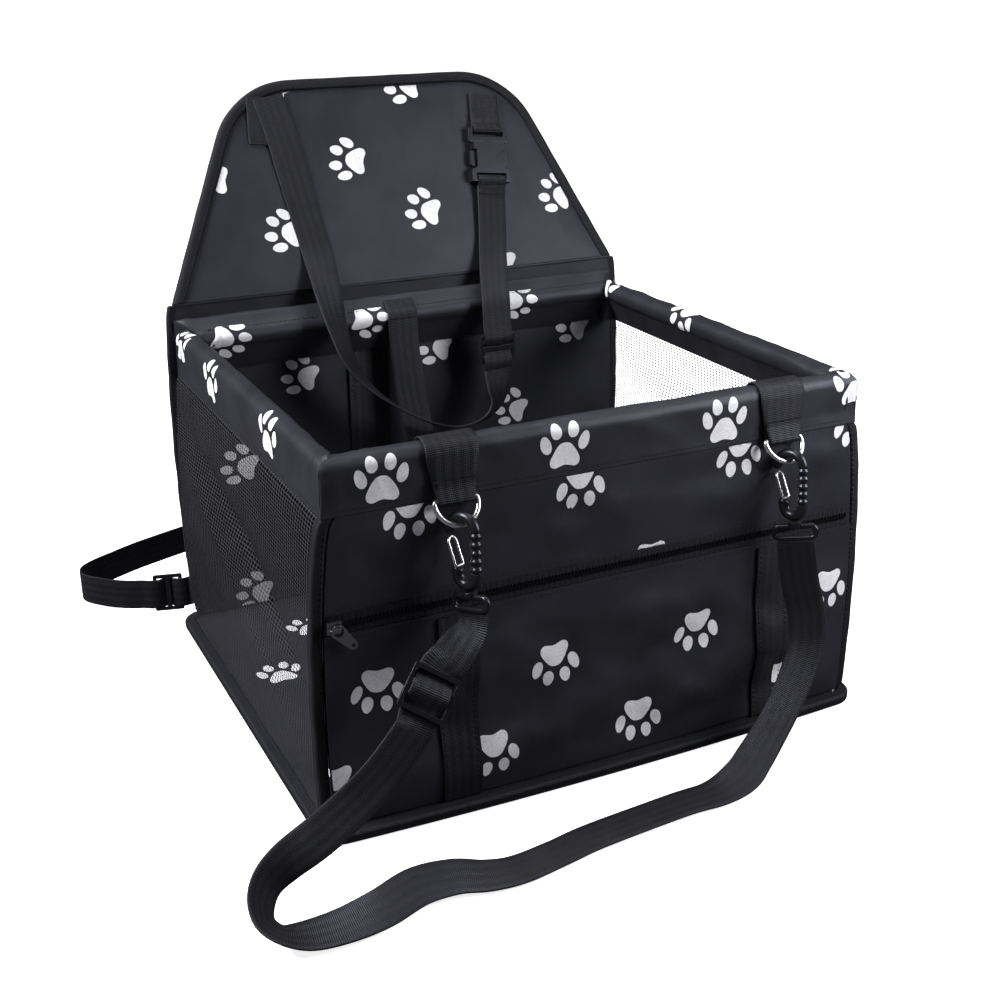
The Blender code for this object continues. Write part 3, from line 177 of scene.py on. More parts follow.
def loft(name, loops, material, ring=False, uvs=None, angle=50):
    # skins equal loops one after the other; uvs gives a metre-sized pair for each loop point
    count = len(loops[0])
    verts = [point for loop in loops for point in loop]
    faces, corners = [], []
    for i in range(len(loops) if ring else len(loops) - 1):
        low, high = i * count, (i + 1) % len(loops) * count
        for k in range(count):
            m = (k + 1) % count
            faces.append((low + k, low + m, high + m, high + k))
            if uvs:
                corners += [uvs[i][k], uvs[i][k + 1], uvs[i + 1][k + 1], uvs[i + 1][k]]
    if not ring:
        for low, pairs in ((0, 0), (len(verts) - count, -1)):
            faces.append(tuple(range(low, low + count)))
            if uvs:
                corners += uvs[pairs][:count]
    return finishMesh(meshItem(name, verts, faces, corners), name, material, angle)


def evenGrid(columns, rows):
    deselectAll()
    bpy.ops.mesh.primitive_grid_add(x_subdivisions=columns, y_subdivisions=rows, size=1, calc_uvs=True)
    return bpy.context.object


def clothGrid(name, columns, rows, spread, place, material, thick, outward):
    # a grid of cloth: spread(s, t) gives metre-sized (a, b), place(a, b) its point in space
    item = evenGrid(columns, rows)
    mesh = item.data
    spots = [spread(vert.co.x + 0.5, vert.co.y + 0.5) for vert in mesh.vertices]
    layer = mesh.uv_layers.active
    for loop in mesh.loops:
        layer.data[loop.index].uv = spots[loop.vertex_index]
    for vert, (a, b) in zip(mesh.vertices, spots):
        vert.co = place(a, b)
    mesh.update()
    middle = mesh.polygons[len(mesh.polygons) // 2 + columns // 2]
    pick(item)
    if middle.normal.dot(Vector(outward)) < 0:
        bpy.ops.object.mode_set(mode="EDIT")
        bpy.ops.mesh.select_all(action="SELECT")
        bpy.ops.mesh.flip_normals()
        bpy.ops.object.mode_set(mode="OBJECT")
    solid = item.modifiers.new("Solidify", "SOLIDIFY")
    solid.thickness = thick
    solid.offset = -1
    solid.use_even_offset = True
    bpy.ops.object.modifier_apply(modifier=solid.name)
    return finishMesh(item, name, material, 60)


# Camera
cameraSettings = dict(azimuth=25.81, elevation=21.63, roll=-0.544, lens=50.59,
                      place=(-0.4185, -0.8698, 0.5148))


def makeCamera():
    turn, lift, roll = (math.radians(cameraSettings[key]) for key in ("azimuth", "elevation", "roll"))
    look = Vector((math.sin(turn) * math.cos(lift), math.cos(turn) * math.cos(lift), -math.sin(lift)))
    level = Vector((math.cos(turn), -math.sin(turn), 0))
    rise = level.cross(look)
    right = level * math.cos(roll) + rise * math.sin(roll)
    up = rise * math.cos(roll) - level * math.sin(roll)
    deselectAll()
    bpy.ops.object.camera_add()
    camera = bpy.context.object
    camera.name = "viewCamera"
    camera.data.lens = cameraSettings["lens"]
    camera.data.sensor_width = 36
    camera.data.clip_start = 0.01
    axes = Matrix((right, up, -look)).transposed().to_4x4()
    camera.matrix_world = Matrix.Translation(cameraSettings["place"]) @ axes
    scene.camera = camera


makeCamera()
print("camera set")


# Materials
def startMaterial(name, colour, roughness, metallic=0.0, shine=0.5):
    material = bpy.data.materials.new(name)
    material.use_nodes = True
    shader = material.node_tree.nodes["Principled BSDF"]
    tint = (1, 1, 1, 1) if metallic else (0.80, 0.82, 1.0, 1)
    values = {"Base Color": (*colour, 1), "Roughness": roughness, "Metallic": metallic,
              "Specular IOR Level": shine, "Specular Tint": tint}
    for key, value in values.items():
        shader.inputs[key].default_value = value
    return material, material.node_tree, shader


def addNode(tree, kind, values=None, **settings):
    node = tree.nodes.new(kind)
    for key, value in settings.items():
        setattr(node, key, value)
    for key, value in (values or {}).items():
        node.inputs[key].default_value = value
    return node


def mathStep(tree, operation, *values):
    node = addNode(tree, "ShaderNodeMath", operation=operation)
    for socket, value in zip(node.inputs, values):
        if isinstance(value, (int, float)):
            socket.default_value = value
        else:
            tree.links.new(value, socket)
    return node.outputs[0]


def uvParts(tree):
    split = addNode(tree, "ShaderNodeSeparateXYZ")
    tree.links.new(addNode(tree, "ShaderNodeUVMap").outputs[0], split.inputs[0])
    return split.outputs[0], split.outputs[1]


def sineOf(tree, value, period):
    return mathStep(tree, "SINE", mathStep(tree, "MULTIPLY", value, 2 * math.pi / period))


def weaveOf(tree, periodA, periodB):
    a, b = uvParts(tree)
    return mathStep(tree, "MULTIPLY", sineOf(tree, a, periodA), sineOf(tree, b, periodB))


def bumpInto(tree, shader, height, strength, distance):
    bump = addNode(tree, "ShaderNodeBump", {"Strength": strength, "Distance": distance})
    tree.links.new(height, bump.inputs["Height"])
    tree.links.new(bump.outputs[0], shader.inputs["Normal"])


def tintInto(tree, shader, factor, dark, light, low=0.0, high=1.0):
    ramp = addNode(tree, "ShaderNodeValToRGB")
    for element, colour, position in zip(ramp.color_ramp.elements, (dark, light), (low, high)):
        element.color = (*colour, 1)
        element.position = position
    tree.links.new(factor, ramp.inputs[0])
    tree.links.new(ramp.outputs[0], shader.inputs["Base Color"])


def scaled(colour, share):
    return tuple(c * share for c in colour)


def noiseOn(tree, scale, detail=3.0):
    node = addNode(tree, "ShaderNodeTexNoise", {"Scale": scale, "Detail": detail})
    tree.links.new(addNode(tree, "ShaderNodeTexCoord").outputs["Object"], node.inputs["Vector"])
    return node.outputs[0]


def wovenCloth(name, dark, light, roughness, threads, strength):
    # plain woven cloth: threads over and under, with a little colour drift
    material, tree, shader = startMaterial(name, light, roughness, shine=0.36)
    weave = weaveOf(tree, threads, threads)
    height = mathStep(tree, "MULTIPLY_ADD", weave, 0.5, noiseOn(tree, 900.0, 2.0))
    bumpInto(tree, shader, height, strength, 0.0004)
    tone = mathStep(tree, "MULTIPLY_ADD", weave, 0.16, noiseOn(tree, 26.0))
    tintInto(tree, shader, tone, dark, light, 0.25, 0.75)
    return material


def ribbed(name, dark, light, roughness, ribs, channels, strength):
    # narrow woven tape: fine ribs across, soft channels along
    material, tree, shader = startMaterial(name, light, roughness, shine=0.26)
    a, b = uvParts(tree)
    channel = mathStep(tree, "MULTIPLY", sineOf(tree, a, channels), 0.9)
    chevron = mathStep(tree, "ADD", channel, sineOf(tree, b, ribs))
    threads = mathStep(tree, "MULTIPLY_ADD", sineOf(tree, a, 0.0011), 0.35, chevron)
    bumpInto(tree, shader, threads, strength, 0.0005)
    tone = mathStep(tree, "MULTIPLY_ADD", chevron, 0.22, noiseOn(tree, 60.0))
    tintInto(tree, shader, tone, dark, light, 0.1, 0.9)
    return material


def moulded(name, colour, roughness, shine=0.5):
    material, tree, shader = startMaterial(name, colour, roughness, shine=shine)
    bumpInto(tree, shader, noiseOn(tree, 1400.0, 2.0), 0.12, 0.0002)
    tintInto(tree, shader, noiseOn(tree, 90.0), scaled(colour, 0.75), scaled(colour, 1.3))
    return material


def plated(name, colour, roughness):
    material, tree, shader = startMaterial(name, colour, roughness, 1.0)
    rough = addNode(tree, "ShaderNodeMapRange", {"To Min": roughness * 0.7, "To Max": roughness * 1.5})
    tree.links.new(noiseOn(tree, 320.0), rough.inputs[0])
    tree.links.new(rough.outputs[0], shader.inputs["Roughness"])
    tintInto(tree, shader, noiseOn(tree, 120.0), scaled(colour, 0.86), colour)
    return material


def knitNet(name, dark, light, along, up, openness):
    # open knitted mesh: staggered holes between fine threads
    material, tree, shader = startMaterial(name, light, 0.50, shine=0.45)
    pattern = mathStep(tree, "ABSOLUTE", weaveOf(tree, along, up))
    tree.links.new(mathStep(tree, "LESS_THAN", pattern, openness), shader.inputs["Alpha"])
    tintInto(tree, shader, noiseOn(tree, 40.0), dark, light)
    return material


def printed(name, colour):
    material, tree, shader = startMaterial(name, colour, 0.6)
    bumpInto(tree, shader, weaveOf(tree, 0.0012, 0.0012), 0.12, 0.0003)
    tintInto(tree, shader, noiseOn(tree, 700.0, 4.0), scaled(colour, 0.80), colour, 0.30, 0.55)
    return material


cloth = wovenCloth("coatedCloth", (0.010, 0.010, 0.013), (0.021, 0.021, 0.027), 0.46, 0.0013, 0.30)
tape = ribbed("bindingTape", (0.004, 0.004, 0.005), (0.010, 0.010, 0.012), 0.60, 0.0011, 0.0040, 0.3)
webbing = ribbed("strapWebbing", (0.005, 0.005, 0.006), (0.013, 0.013, 0.015), 0.50, 0.0012, 0.0060, 0.32)
plastic = moulded("blackPlastic", (0.006, 0.006, 0.007), 0.32, 0.4)
dullPlastic = moulded("matBlackPlastic", (0.006, 0.006, 0.007), 0.38, 0.34)
greyPipe = moulded("greyPipe", (0.40, 0.40, 0.41), 0.45)
board = moulded("greyBoard", (0.28, 0.28, 0.28), 0.7)
nickel = plated("nickelPlate", (0.74, 0.73, 0.72), 0.27)
darkMetal = plated("darkPlate", (0.20, 0.20, 0.21), 0.30)
netCloth = knitNet("meshCloth", (0.020, 0.020, 0.022), (0.038, 0.038, 0.041), 0.0084, 0.0048, 0.23)
pawInk = printed("pawPrint", (0.80, 0.79, 0.84))
thread = ribbed("sewingThread", (0.010, 0.010, 0.012), (0.026, 0.026, 0.030), 0.5, 0.0006, 0.002, 0.3)
print("materials made")


def dress(name, material):
    item = nodes[name]
    item.data.materials.clear()
    item.data.materials.append(material)
    return item


# The box's own lines, as the solids have them
box = dict(
    rimHalfX=0.190, faceY=0.164, backY=0.1643, wallBottom=0.0083, wallTop=0.2117, backTop=0.2637, hinge=0.264,
    bindWidth=0.008, bindDepth=0.0084, backBindDepth=0.0047, belly=0.012, bellyLow=0.25, bellyPower=0.5,
    backFlare=0.002, backBelly=0.006, bow=0.006, bowEnd=0.013, zip=0.145, gap=0.0003,
    baseHalfX=0.204, baseHalfY=0.175, baseCorner=0.016, floorTop=0.0070,
)


def wallShare(z, top):
    return clamped((z - box["wallBottom"]) / (top - box["wallBottom"]), 0, 1)


def bellyOut(z):
    turn = math.pi * (box["bellyLow"] + (1 - box["bellyLow"]) * wallShare(z, box["wallTop"]))
    return box["belly"] * max(math.sin(turn), 0) ** box["bellyPower"]


def cornerX(z, back=False):
    out = bellyOut(z)
    if back:
        swell = math.sin(math.pi * wallShare(z, box["hinge"])) ** box["bellyPower"]
        out = box["backFlare"] + box["backBelly"] * swell
    return box["rimHalfX"] - box["bindWidth"] / 2 + out


def frontBow(x, z):
    fade = max(1 - z / (box["zip"] - box["bowEnd"]), 0)
    return box["bow"] * max(1 - (x / box["baseHalfX"]) ** 2, 0) * fade


# Webbing straps
glide = dict(lift=0.0024, ease=0.010, rail=0.0035)


def smoothLine(values, fine):
    last = len(values) - 1
    line = [curveBetween(values[max(i - 1, 0)], values[i], values[i + 1], values[min(i + 2, last)], k / fine)
            for i in range(last) for k in range(fine)]
    return line + [values[-1]]


def smoothRoute(route, fine=10):
    # a curve through given stations: the centres, and the directions across
    return (smoothLine([Vector(point) for point, _ in route], fine),
            smoothLine([Vector(turn).normalized() for _, turn in route], fine))


def evenRoute(points, sides, step=0.003):
    # the same curve at equal steps along its length
    marks = lengthMarks(points)
    count = max(round(marks[-1] / step), 4)
    at = [marks[-1] * i / count for i in range(count + 1)]
    spots = [locate(marks, mark) for mark in at]
    return ([points[k].lerp(points[k + 1], share) for k, share in spots],
            [sides[k].lerp(sides[k + 1], share) for k, share in spots], at)


def strapSection(width, thick):
    # rounded-edge section of webbing, counted round from the right edge
    half, edge = width / 2, thick / 2
    top = [(half - edge - (width - 2 * edge) * k / 8, edge) for k in range(9)]
    left = arc((-half + edge, 0), edge, 90, 270, 4)[1:-1]
    right = arc((half - edge, 0), edge, -90, 90, 4)[1:-1]
    return top + left + [(-u, -v) for u, v in top] + right


def makeStrap(name, centres, turns, at, width=0.025, thick=0.0016, widths=None):
    loops, uvs = [], []
    last = len(centres) - 1
    for i, centre in enumerate(centres):
        along = (centres[min(i + 1, last)] - centres[max(i - 1, 0)]).normalized()
        side = (turns[i] - along * turns[i].dot(along)).normalized()
        out = side.cross(along)
        section = strapSection(widths[i] if widths else width, thick)
        loops.append([centre + side * u + out * v for u, v in section])
        uvs.append([(u, at[i]) for u, v in section + section[:1]])
    return loft(name, loops, webbing, uvs=uvs)


def plainStrap(name, route):
    centres, turns, at = evenRoute(*smoothRoute(route))
    return makeStrap(name, centres, turns, at), centres, at


def glideFrame(points, sides, mark):
    k, share = locate(lengthMarks(points), mark)
    along = (points[min(k + 4, len(points) - 1)] - points[max(k - 3, 0)]).normalized()
    side = sides[k].lerp(sides[k + 1], share)
    side = (side - along * side.dot(along)).normalized()
    return points[k].lerp(points[k + 1], share), side, along, side.cross(along)


def strapThroughGlide(name, route, glideAt, halfLength, span=(0.0, 1.0)):
    # a strap that rises over the outer rails and dips under the middle bar of its slider
    points, sides = smoothRoute(route)
    middle, side, along, out = glideFrame(points, sides, glideAt)
    centres, turns, at = [], [], []
    for centre, turn, mark in zip(*evenRoute(points, sides)):
        if not span[0] <= mark <= span[1]:
            continue
        away = mark - glideAt
        share = easeIn(halfLength + glide["ease"] - abs(away), glide["ease"])
        rise = -glide["lift"] * math.cos(min(abs(away) / (halfLength - glide["rail"]), 1) * math.pi)
        centres.append(centre.lerp(middle + along * away, share) + out * rise * share)
        turns.append(turn.lerp(side, share))
        at.append(mark)
    return makeStrap(name, centres, turns, at), centres, at


leadRoute = [
    ((-0.1080, -0.1883, 0.1457), (0.375, -0.903, 0.209)),
    ((-0.1080, -0.1894, 0.1410), (0.375, -0.903, 0.209)),
    ((-0.1120, -0.1920, 0.1355), (0.56, -0.80, 0.00)), ((-0.1225, -0.1960, 0.1275), (0.78, -0.55, -0.28)),
    ((-0.1340, -0.2000, 0.1180), (0.85, -0.35, -0.40)), ((-0.1440, -0.2042, 0.1080), (0.85, -0.30, -0.43)),
    ((-0.1530, -0.2082, 0.0935), (0.82, -0.22, -0.53)), ((-0.1814, -0.2120, 0.0650), (0.68, -0.30, -0.67)),
    ((-0.2151, -0.2160, 0.0440), (0.56, -0.48, -0.67)), ((-0.2400, -0.2200, 0.0340), (0.66, -0.20, -0.72)),
    ((-0.2531, -0.2240, 0.0268), (0.73, 0.15, -0.66)), ((-0.2596, -0.2310, 0.0190), (0.72, 0.45, -0.52)),
    ((-0.2605, -0.2395, 0.0128), (0.52, 0.78, -0.35)), ((-0.2537, -0.2480, 0.0082), (0.22, 0.95, -0.20)),
    ((-0.2405, -0.2515, 0.0052), (0.02, 1.00, 0.05)), ((-0.2196, -0.2537, 0.0062), (-0.02, 0.97, 0.24)),
    ((-0.1963, -0.2520, 0.0085), (-0.20, 0.88, 0.43)), ((-0.1710, -0.2440, 0.0095), (-0.30, 0.83, 0.47)),
    ((-0.1468, -0.2420, 0.0070), (-0.05, 0.93, 0.35)), ((-0.1279, -0.2465, 0.0045), (0.12, 0.97, 0.20)),
    ((-0.1074, -0.2476, 0.0028), (0.08, 0.99, 0.08)), ((-0.0780, -0.2430, 0.0022), (-0.12, 0.99, 0.02)),
    ((-0.0491, -0.2378, 0.0020), (-0.12, 0.99, 0.02)), ((0.0137, -0.2327, 0.0020), (-0.05, 1.00, 0.02)),
    ((0.0430, -0.2335, 0.0032), (-0.05, 0.99, 0.10)), ((0.0646, -0.2300, 0.0078), (-0.30, 0.85, 0.42)),
    ((0.0790, -0.2235, 0.0140), (-0.50, 0.66, 0.56)), ((0.0972, -0.2155, 0.0255), (-0.62, 0.45, 0.64)),
    ((0.1106, -0.2095, 0.0370), (-0.70, 0.42, 0.57)), ((0.1249, -0.2035, 0.0545), (-0.80, 0.42, 0.42)),
    ((0.1338, -0.1990, 0.0730), (-0.88, 0.42, 0.22)), ((0.1350, -0.1960, 0.0940), (-0.90, 0.43, 0.05)),
    ((0.1300, -0.1920, 0.1200), (-0.84, 0.54, -0.06)), ((0.1270, -0.1893, 0.1460), (-0.707, 0.689, -0.159)),
]
headrestRoute = [
    ((-0.0885, 0.2110, 0.3995), (0.98, 0.06, 0.17)), ((-0.0837, 0.2024, 0.3763), (0.97, 0.06, 0.17)),
    ((-0.0788, 0.1897, 0.3418), (0.97, 0.06, 0.17)), ((-0.0720, 0.1730, 0.2974), (0.96, 0.07, 0.18)),
    ((-0.0705, 0.1590, 0.2740), (0.93, 0.28, 0.13)), ((-0.0710, 0.1450, 0.2560), (0.86, 0.45, 0.06)),
    ((-0.0700, 0.1335, 0.2370), (0.75, 0.62, -0.05)), ((-0.0646, 0.1220, 0.2130), (0.62, 0.74, -0.12)),
    ((-0.0453, 0.1160, 0.1880), (0.46, 0.84, -0.28)), ((-0.0135, 0.1120, 0.1650), (0.40, 0.85, -0.33)),
    ((0.0176, 0.1140, 0.1523), (0.42, 0.84, -0.33)), ((0.0418, 0.1180, 0.1532), (0.52, 0.80, -0.24)),
    ((0.0574, 0.1240, 0.1620), (0.72, 0.66, -0.12)), ((0.0642, 0.1300, 0.1765), (0.95, 0.28, -0.02)),
    ((0.0656, 0.1334, 0.1897), (1.00, 0.02, 0.00)),
]
runRoute = [
    ((0.0656, 0.1335, 0.1900), (1.00, 0.02, 0.00)), ((0.0656, 0.1335, 0.2060), (1.00, 0.00, 0.00)),
    ((0.0656, 0.1335, 0.2260), (1.00, 0.00, 0.00)), ((0.0662, 0.1360, 0.2430), (1.00, 0.00, -0.02)),
    ((0.0700, 0.1470, 0.2590), (1.00, 0.00, -0.06)), ((0.0755, 0.1605, 0.2770), (1.00, 0.00, -0.10)),
    ((0.0800, 0.1705, 0.2990), (0.995, 0.00, -0.10)), ((0.0832, 0.1783, 0.3200), (0.995, 0.00, -0.10)),
    ((0.0845, 0.1826, 0.3315), (0.995, 0.00, -0.10)),
]
waistRoute = [((x, y, 0.028), (0, 0, 1)) for x, y in (
    (-0.1500, 0.1690), (-0.1720, 0.1706), (-0.1950, 0.1735), (-0.2130, 0.1770), (-0.2400, 0.1860),
    (-0.2610, 0.2030), (-0.2715, 0.2200), (-0.2650, 0.2360), (-0.2380, 0.2520), (-0.2060, 0.2670),
    (-0.1500, 0.2850), (-0.0800, 0.2890), (0.0000, 0.2740), (0.0800, 0.2430), (0.1320, 0.2080),
    (0.1580, 0.1820), (0.1700, 0.1695),
)]
leashRoute = [
    ((-0.0115, 0.1459, 0.2378), (1.00, 0.00, 0.00)), ((-0.0110, 0.1452, 0.2150), (1.00, -0.02, 0.00)),
    ((-0.0085, 0.1420, 0.1800), (1.00, -0.05, 0.00)), ((-0.0050, 0.1370, 0.1480), (1.00, -0.05, 0.00)),
    ((0.0000, 0.1310, 0.1000), (1.00, -0.05, 0.00)), ((0.0060, 0.1240, 0.0550), (1.00, -0.05, 0.00)),
    ((0.0120, 0.1120, 0.0240), (1.00, 0.05, 0.00)), ((0.0190, 0.0930, 0.0120), (0.97, 0.20, 0.00)),
    ((0.0270, 0.0640, 0.0098), (0.97, 0.24, 0.00)), ((0.0350, 0.0360, 0.0098), (0.97, 0.26, 0.00)),
    ((0.0389, 0.0170, 0.0105), (0.956, 0.292, 0.00)), ((0.0420, 0.0071, 0.0118), (0.956, 0.292, 0.00)),
]


# Sewing and printing
def barFaces(base, around):
    # the faces of a short bar of four sections with four points each, and its two ends
    faces = []
    for a in (base, base + 4, base + 8):
        faces += [(a + k, a + (k + 1) % 4, a + 4 + (k + 1) % 4, a + 4 + k) for k in range(around)]
    return faces + [(base, base + 3, base + 2, base + 1), (base + 12, base + 13, base + 14, base + 15)]


def addStitches(name, lines, length=0.0026, pitch=0.0037, wide=0.0005, high=0.00035):
    # short raised dashes along lines of (point, outward) pairs
    verts, faces = [], []
    for line in lines:
        points, outs = zip(*line)
        marks = lengthMarks(points)

        def at(mark):
            k, share = locate(marks, mark)
            return points[k].lerp(points[k + 1], share), outs[k].lerp(outs[k + 1], share).normalized()

        for i in range(int((marks[-1] - length) / pitch)):
            start, out = at(pitch * (i + 0.3))
            end, _ = at(pitch * (i + 0.3) + length)
            side = (end - start).normalized().cross(out).normalized() * wide / 2
            faces += barFaces(len(verts), 3)
            for share, rise in ((0, 0.1), (0.2, 1), (0.8, 1), (1, 0.1)):
                spot, crown = start.lerp(end, share), out * high * rise
                verts += (spot - side - out * high, spot - side * 0.6 + crown,
                          spot + side * 0.6 + crown, spot + side - out * high)
    return finishMesh(meshItem(name, verts, faces), name, thread, 30)


pawShape = dict(
    pad=((0, 1.4), (3.5, 0.6), (6.5, -2.6), (9.3, -7.2), (10.3, -10.6), (9.4, -13.4), (6.8, -14.5),
         (4.0, -13.9)),
    toes=((6.0, 9.1, 3.75, 5.3, 8), (13.1, 1.2, 3.6, 6.1, 18)),
    padFoot=-13.1, padMiddle=-7.5, rings=4, toeSteps=18, lift=0.00025,
)


def pawOutlines():
    half = [Vector(p) for p in pawShape["pad"]]
    whole = half + [Vector((0, pawShape["padFoot"]))] + [Vector((-p.x, p.y)) for p in reversed(half[1:])]
    pad = [curveBetween(*(whole[(i + k - 1) % len(whole)] for k in range(4)), t)
           for i in range(len(whole)) for t in (0, 1 / 3, 2 / 3)]
    outlines = [(Vector((0, pawShape["padMiddle"])), pad)]
    for x, y, halfX, halfY, tilt in pawShape["toes"]:
        for sign in (-1, 1):
            points = []
            for k in range(pawShape["toeSteps"]):
                t = 2 * math.pi * k / pawShape["toeSteps"]
                u, v = turned(halfX * math.cos(t) * (1 - 0.12 * math.sin(t)), halfY * math.sin(t),
                              math.radians(-sign * tilt))
                points.append(Vector((sign * x + u, y + v)))
            outlines.append((Vector((sign * x, y)), points))
    return outlines


pawLines = pawOutlines()


def printPaws(cloth, spots, place, apart=None):
    # spots: (a, b, turn in degrees, toes up at 0); place(a, b, lift) gives the point on the cloth
    # apart names the print as a piece of its own, so that a flat sheet stays one closed layer
    verts, faces, pairs = [], [], []
    rings = pawShape["rings"]
    for a0, b0, degrees in spots:
        for centre, outline in pawLines:
            base, n = len(verts), len(outline)
            spread = [centre.lerp(p, step / rings) for step in range(1, rings + 1) for p in outline]
            for p in [centre] + spread:
                a, b = turned(p.x, p.y, math.radians(degrees))
                pairs.append((a0 + 0.001 * a, b0 + 0.001 * b))
                verts.append(place(*pairs[-1], pawShape["lift"]))
            faces += [(base, base + 1 + k, base + 1 + (k + 1) % n) for k in range(n)]
            for low in range(base + 1, base + 1 + (rings - 1) * n, n):
                faces += [(low + k, low + n + k, low + n + (k + 1) % n, low + (k + 1) % n) for k in range(n)]
    layerName = "UVMap" if apart else cloth.data.uv_layers.active.name
    item = meshItem("paws", verts, faces, [pairs[v] for face in faces for v in face], layerName)
    item.data.materials.append(pawInk)
    for polygon in item.data.polygons:
        polygon.use_smooth = True
    if not apart:
        return joinTo(cloth, item)
    item.name = apart
    return attach(item, "box")


# Front wall, pocket and their strips
wall = dict(edge=0.0043, thick=0.0028, margin=0.0045, pocketThick=0.0011, pocketAhead=0.0015,
            pocketTop=0.1382, stripAhead=0.0032, stripHalf=0.013, stripTall=0.1267, stripThick=0.0014,
            leftStrip=-0.108, rightStrip=0.127)
drape = dict(deep=0.0062, fine=0.0013, besideZip=0.008, sideFade=0.035, footFade=0.03, topFade=0.022)


def frontDrape(x, z):
    # how far the cloth of the front stands out or sinks, calm at its seams
    calm = easeIn(abs(z - box["zip"]) - drape["besideZip"], drape["sideFade"])
    calm *= easeIn(z - box["wallBottom"], drape["footFade"]) * easeIn(box["wallTop"] - z, drape["topFade"])
    calm *= easeIn(cornerX(z) - abs(x), drape["sideFade"])
    slant = Vector(((x + 0.5 * z) / 0.085, (z - 0.35 * x) / 0.040, 2.0))
    fine = Vector(((x - 0.8 * z) / 0.030, (z + 0.6 * x) / 0.018, 9.0))
    return calm * (drape["deep"] * noise.noise(slant) + drape["fine"] * noise.noise(fine))


def frontPoint(ahead):
    # a point of a sheet on the front wall: a = x, b = z
    def place(a, b, lift=0.0):
        return Vector((a, -(box["faceY"] + frontBow(a, b) + frontDrape(a, b) + ahead + lift), b))
    return place


def wallSpread(high, edge, back=False):
    # grid shares to the wall's own width at each height
    def spread(s, t):
        z = box["wallBottom"] + (high - box["wallBottom"]) * t
        half = cornerX(z, back) - edge
        return -half + 2 * half * s, z
    return spread


def within(place, low, high, back=False):
    # keeps a print inside the bindings and seams of its wall
    def limited(a, b, lift):
        half = cornerX(b, back) - wall["margin"]
        return place(clamped(a, -half, half), clamped(b, low, high), lift)
    return limited


upperPlace = frontPoint(0.0)
pocketPlace = frontPoint(wall["pocketAhead"])
stripPlace = frontPoint(wall["stripAhead"])
frontWall = clothGrid("frontWall", 72, 40, wallSpread(box["wallTop"], wall["edge"]), upperPlace, cloth,
                      wall["thick"], (0, -1, 0))
pocketWall = clothGrid("pocketWall", 72, 28, wallSpread(wall["pocketTop"], wall["edge"]), pocketPlace, cloth,
                       wall["pocketThick"], (0, -1, 0))
pocketPaws = printPaws(pocketWall, [
    (-0.161, 0.0955, 176), (-0.0405, 0.086, 184), (0.067, 0.085, 180), (0.175, 0.092, 176),
    (-0.086, 0.0335, 182), (0.0216, 0.030, 180), (0.1355, 0.030, 178), (-0.191, 0.036, 180)],
    within(pocketPlace, 0.0085, 0.1375), "pocketPaws")
frontPaws = printPaws(frontWall, [
    (-0.136, 0.205, 178), (-0.022, 0.203, 182), (0.096, 0.204, 180), (0.189, 0.210, 180),
    (0.031, 0.1405, 180)], within(upperPlace, 0.1520, 0.2112), "frontPaws")


def makeStrip(side):
    def spread(s, t):
        middle = wall[side + "Strip"]
        return middle + wall["stripHalf"] * (2 * s - 1), box["wallBottom"] + wall["stripTall"] * t

    return clothGrid("pocketStrip" + side.title(), 8, 24, spread, stripPlace, webbing, wall["stripThick"],
                     (0, -1, 0))


strips = [makeStrip("left"), makeStrip("right")]
printPaws(strips[1], [(0.1355, 0.030, 178)],
          lambda a, b, lift: stripPlace(clamped(a, 0.1320, 0.1395), b, lift))
attach(frontWall, "box", "front_panel")
attach(pocketWall, "box", "front_pocket")
attach(strips[0], "box", "pocket_strip_left")
attach(strips[1], "box", "pocket_strip_right")
print("front wall made")


# Zip
zipper = dict(half=0.190, low=0.1386, tape=0.0128, tapeY=0.1649, tapeThick=0.0005, tapeWave=0.00015,
              toothY=0.16515, pitch=0.0012, slot=0.1872, stagger=0.00055,
              toothSteps=((-0.0004, 0.55), (-0.00022, 1.0), (0.00022, 1.0), (0.0004, 0.55)),
              toothSides=((0, -0.0016), (0.0013, -0.0013), (0.0013, 0.0013), (0, 0.0016)))


def makeZip():
    def spread(s, t):
        return zipper["half"] * (2 * s - 1), zipper["low"] + zipper["tape"] * t

    def place(a, b):
        return Vector((a, -zipper["tapeY"] + zipper["tapeWave"] * math.sin(a * 60), b))

    tapeItem = clothGrid("zipTape", 60, 6, spread, place, tape, zipper["tapeThick"], (0, -1, 0))
    verts, faces = [], []
    for i in range(int(2 * zipper["slot"] / zipper["pitch"])):
        x = -zipper["slot"] + zipper["pitch"] * (i + 0.5)
        z = box["zip"] + (1 if i % 2 else -1) * zipper["stagger"]
        faces += barFaces(len(verts), 4)
        for dx, scale in zipper["toothSteps"]:
            for dy, dz in zipper["toothSides"]:
                verts.append((x + dx, -zipper["toothY"] - dy * scale, z + dz * (0.8 + 0.2 * scale)))
    teeth = finishMesh(meshItem("zipTeeth", verts, faces), "zipTeeth", dullPlastic, 30)
    attach(tapeItem, "box", "zip_tape")
    attach(teeth, "box", "zip_coil")


makeZip()
print("zip made")


# Back wall
backSettings = dict(edge=0.0028, thick=0.0030, stripX=-0.036, stripWidth=0.034, stripTall=0.2034,
                    stripAhead=0.0018, wrinkle=0.0007, mostFold=0.0009)


def backFace(depth, sign):
    # the wall's inside face, or its outside face at a depth; sign says which way a lift goes
    def place(a, b, lift=0.0):
        fold = min(abs(wrinkle(a, b * 0.7, 5.0, 0.06, backSettings["wrinkle"])), backSettings["mostFold"])
        return Vector((a, box["backY"] + fold + depth + sign * lift, b))
    return place


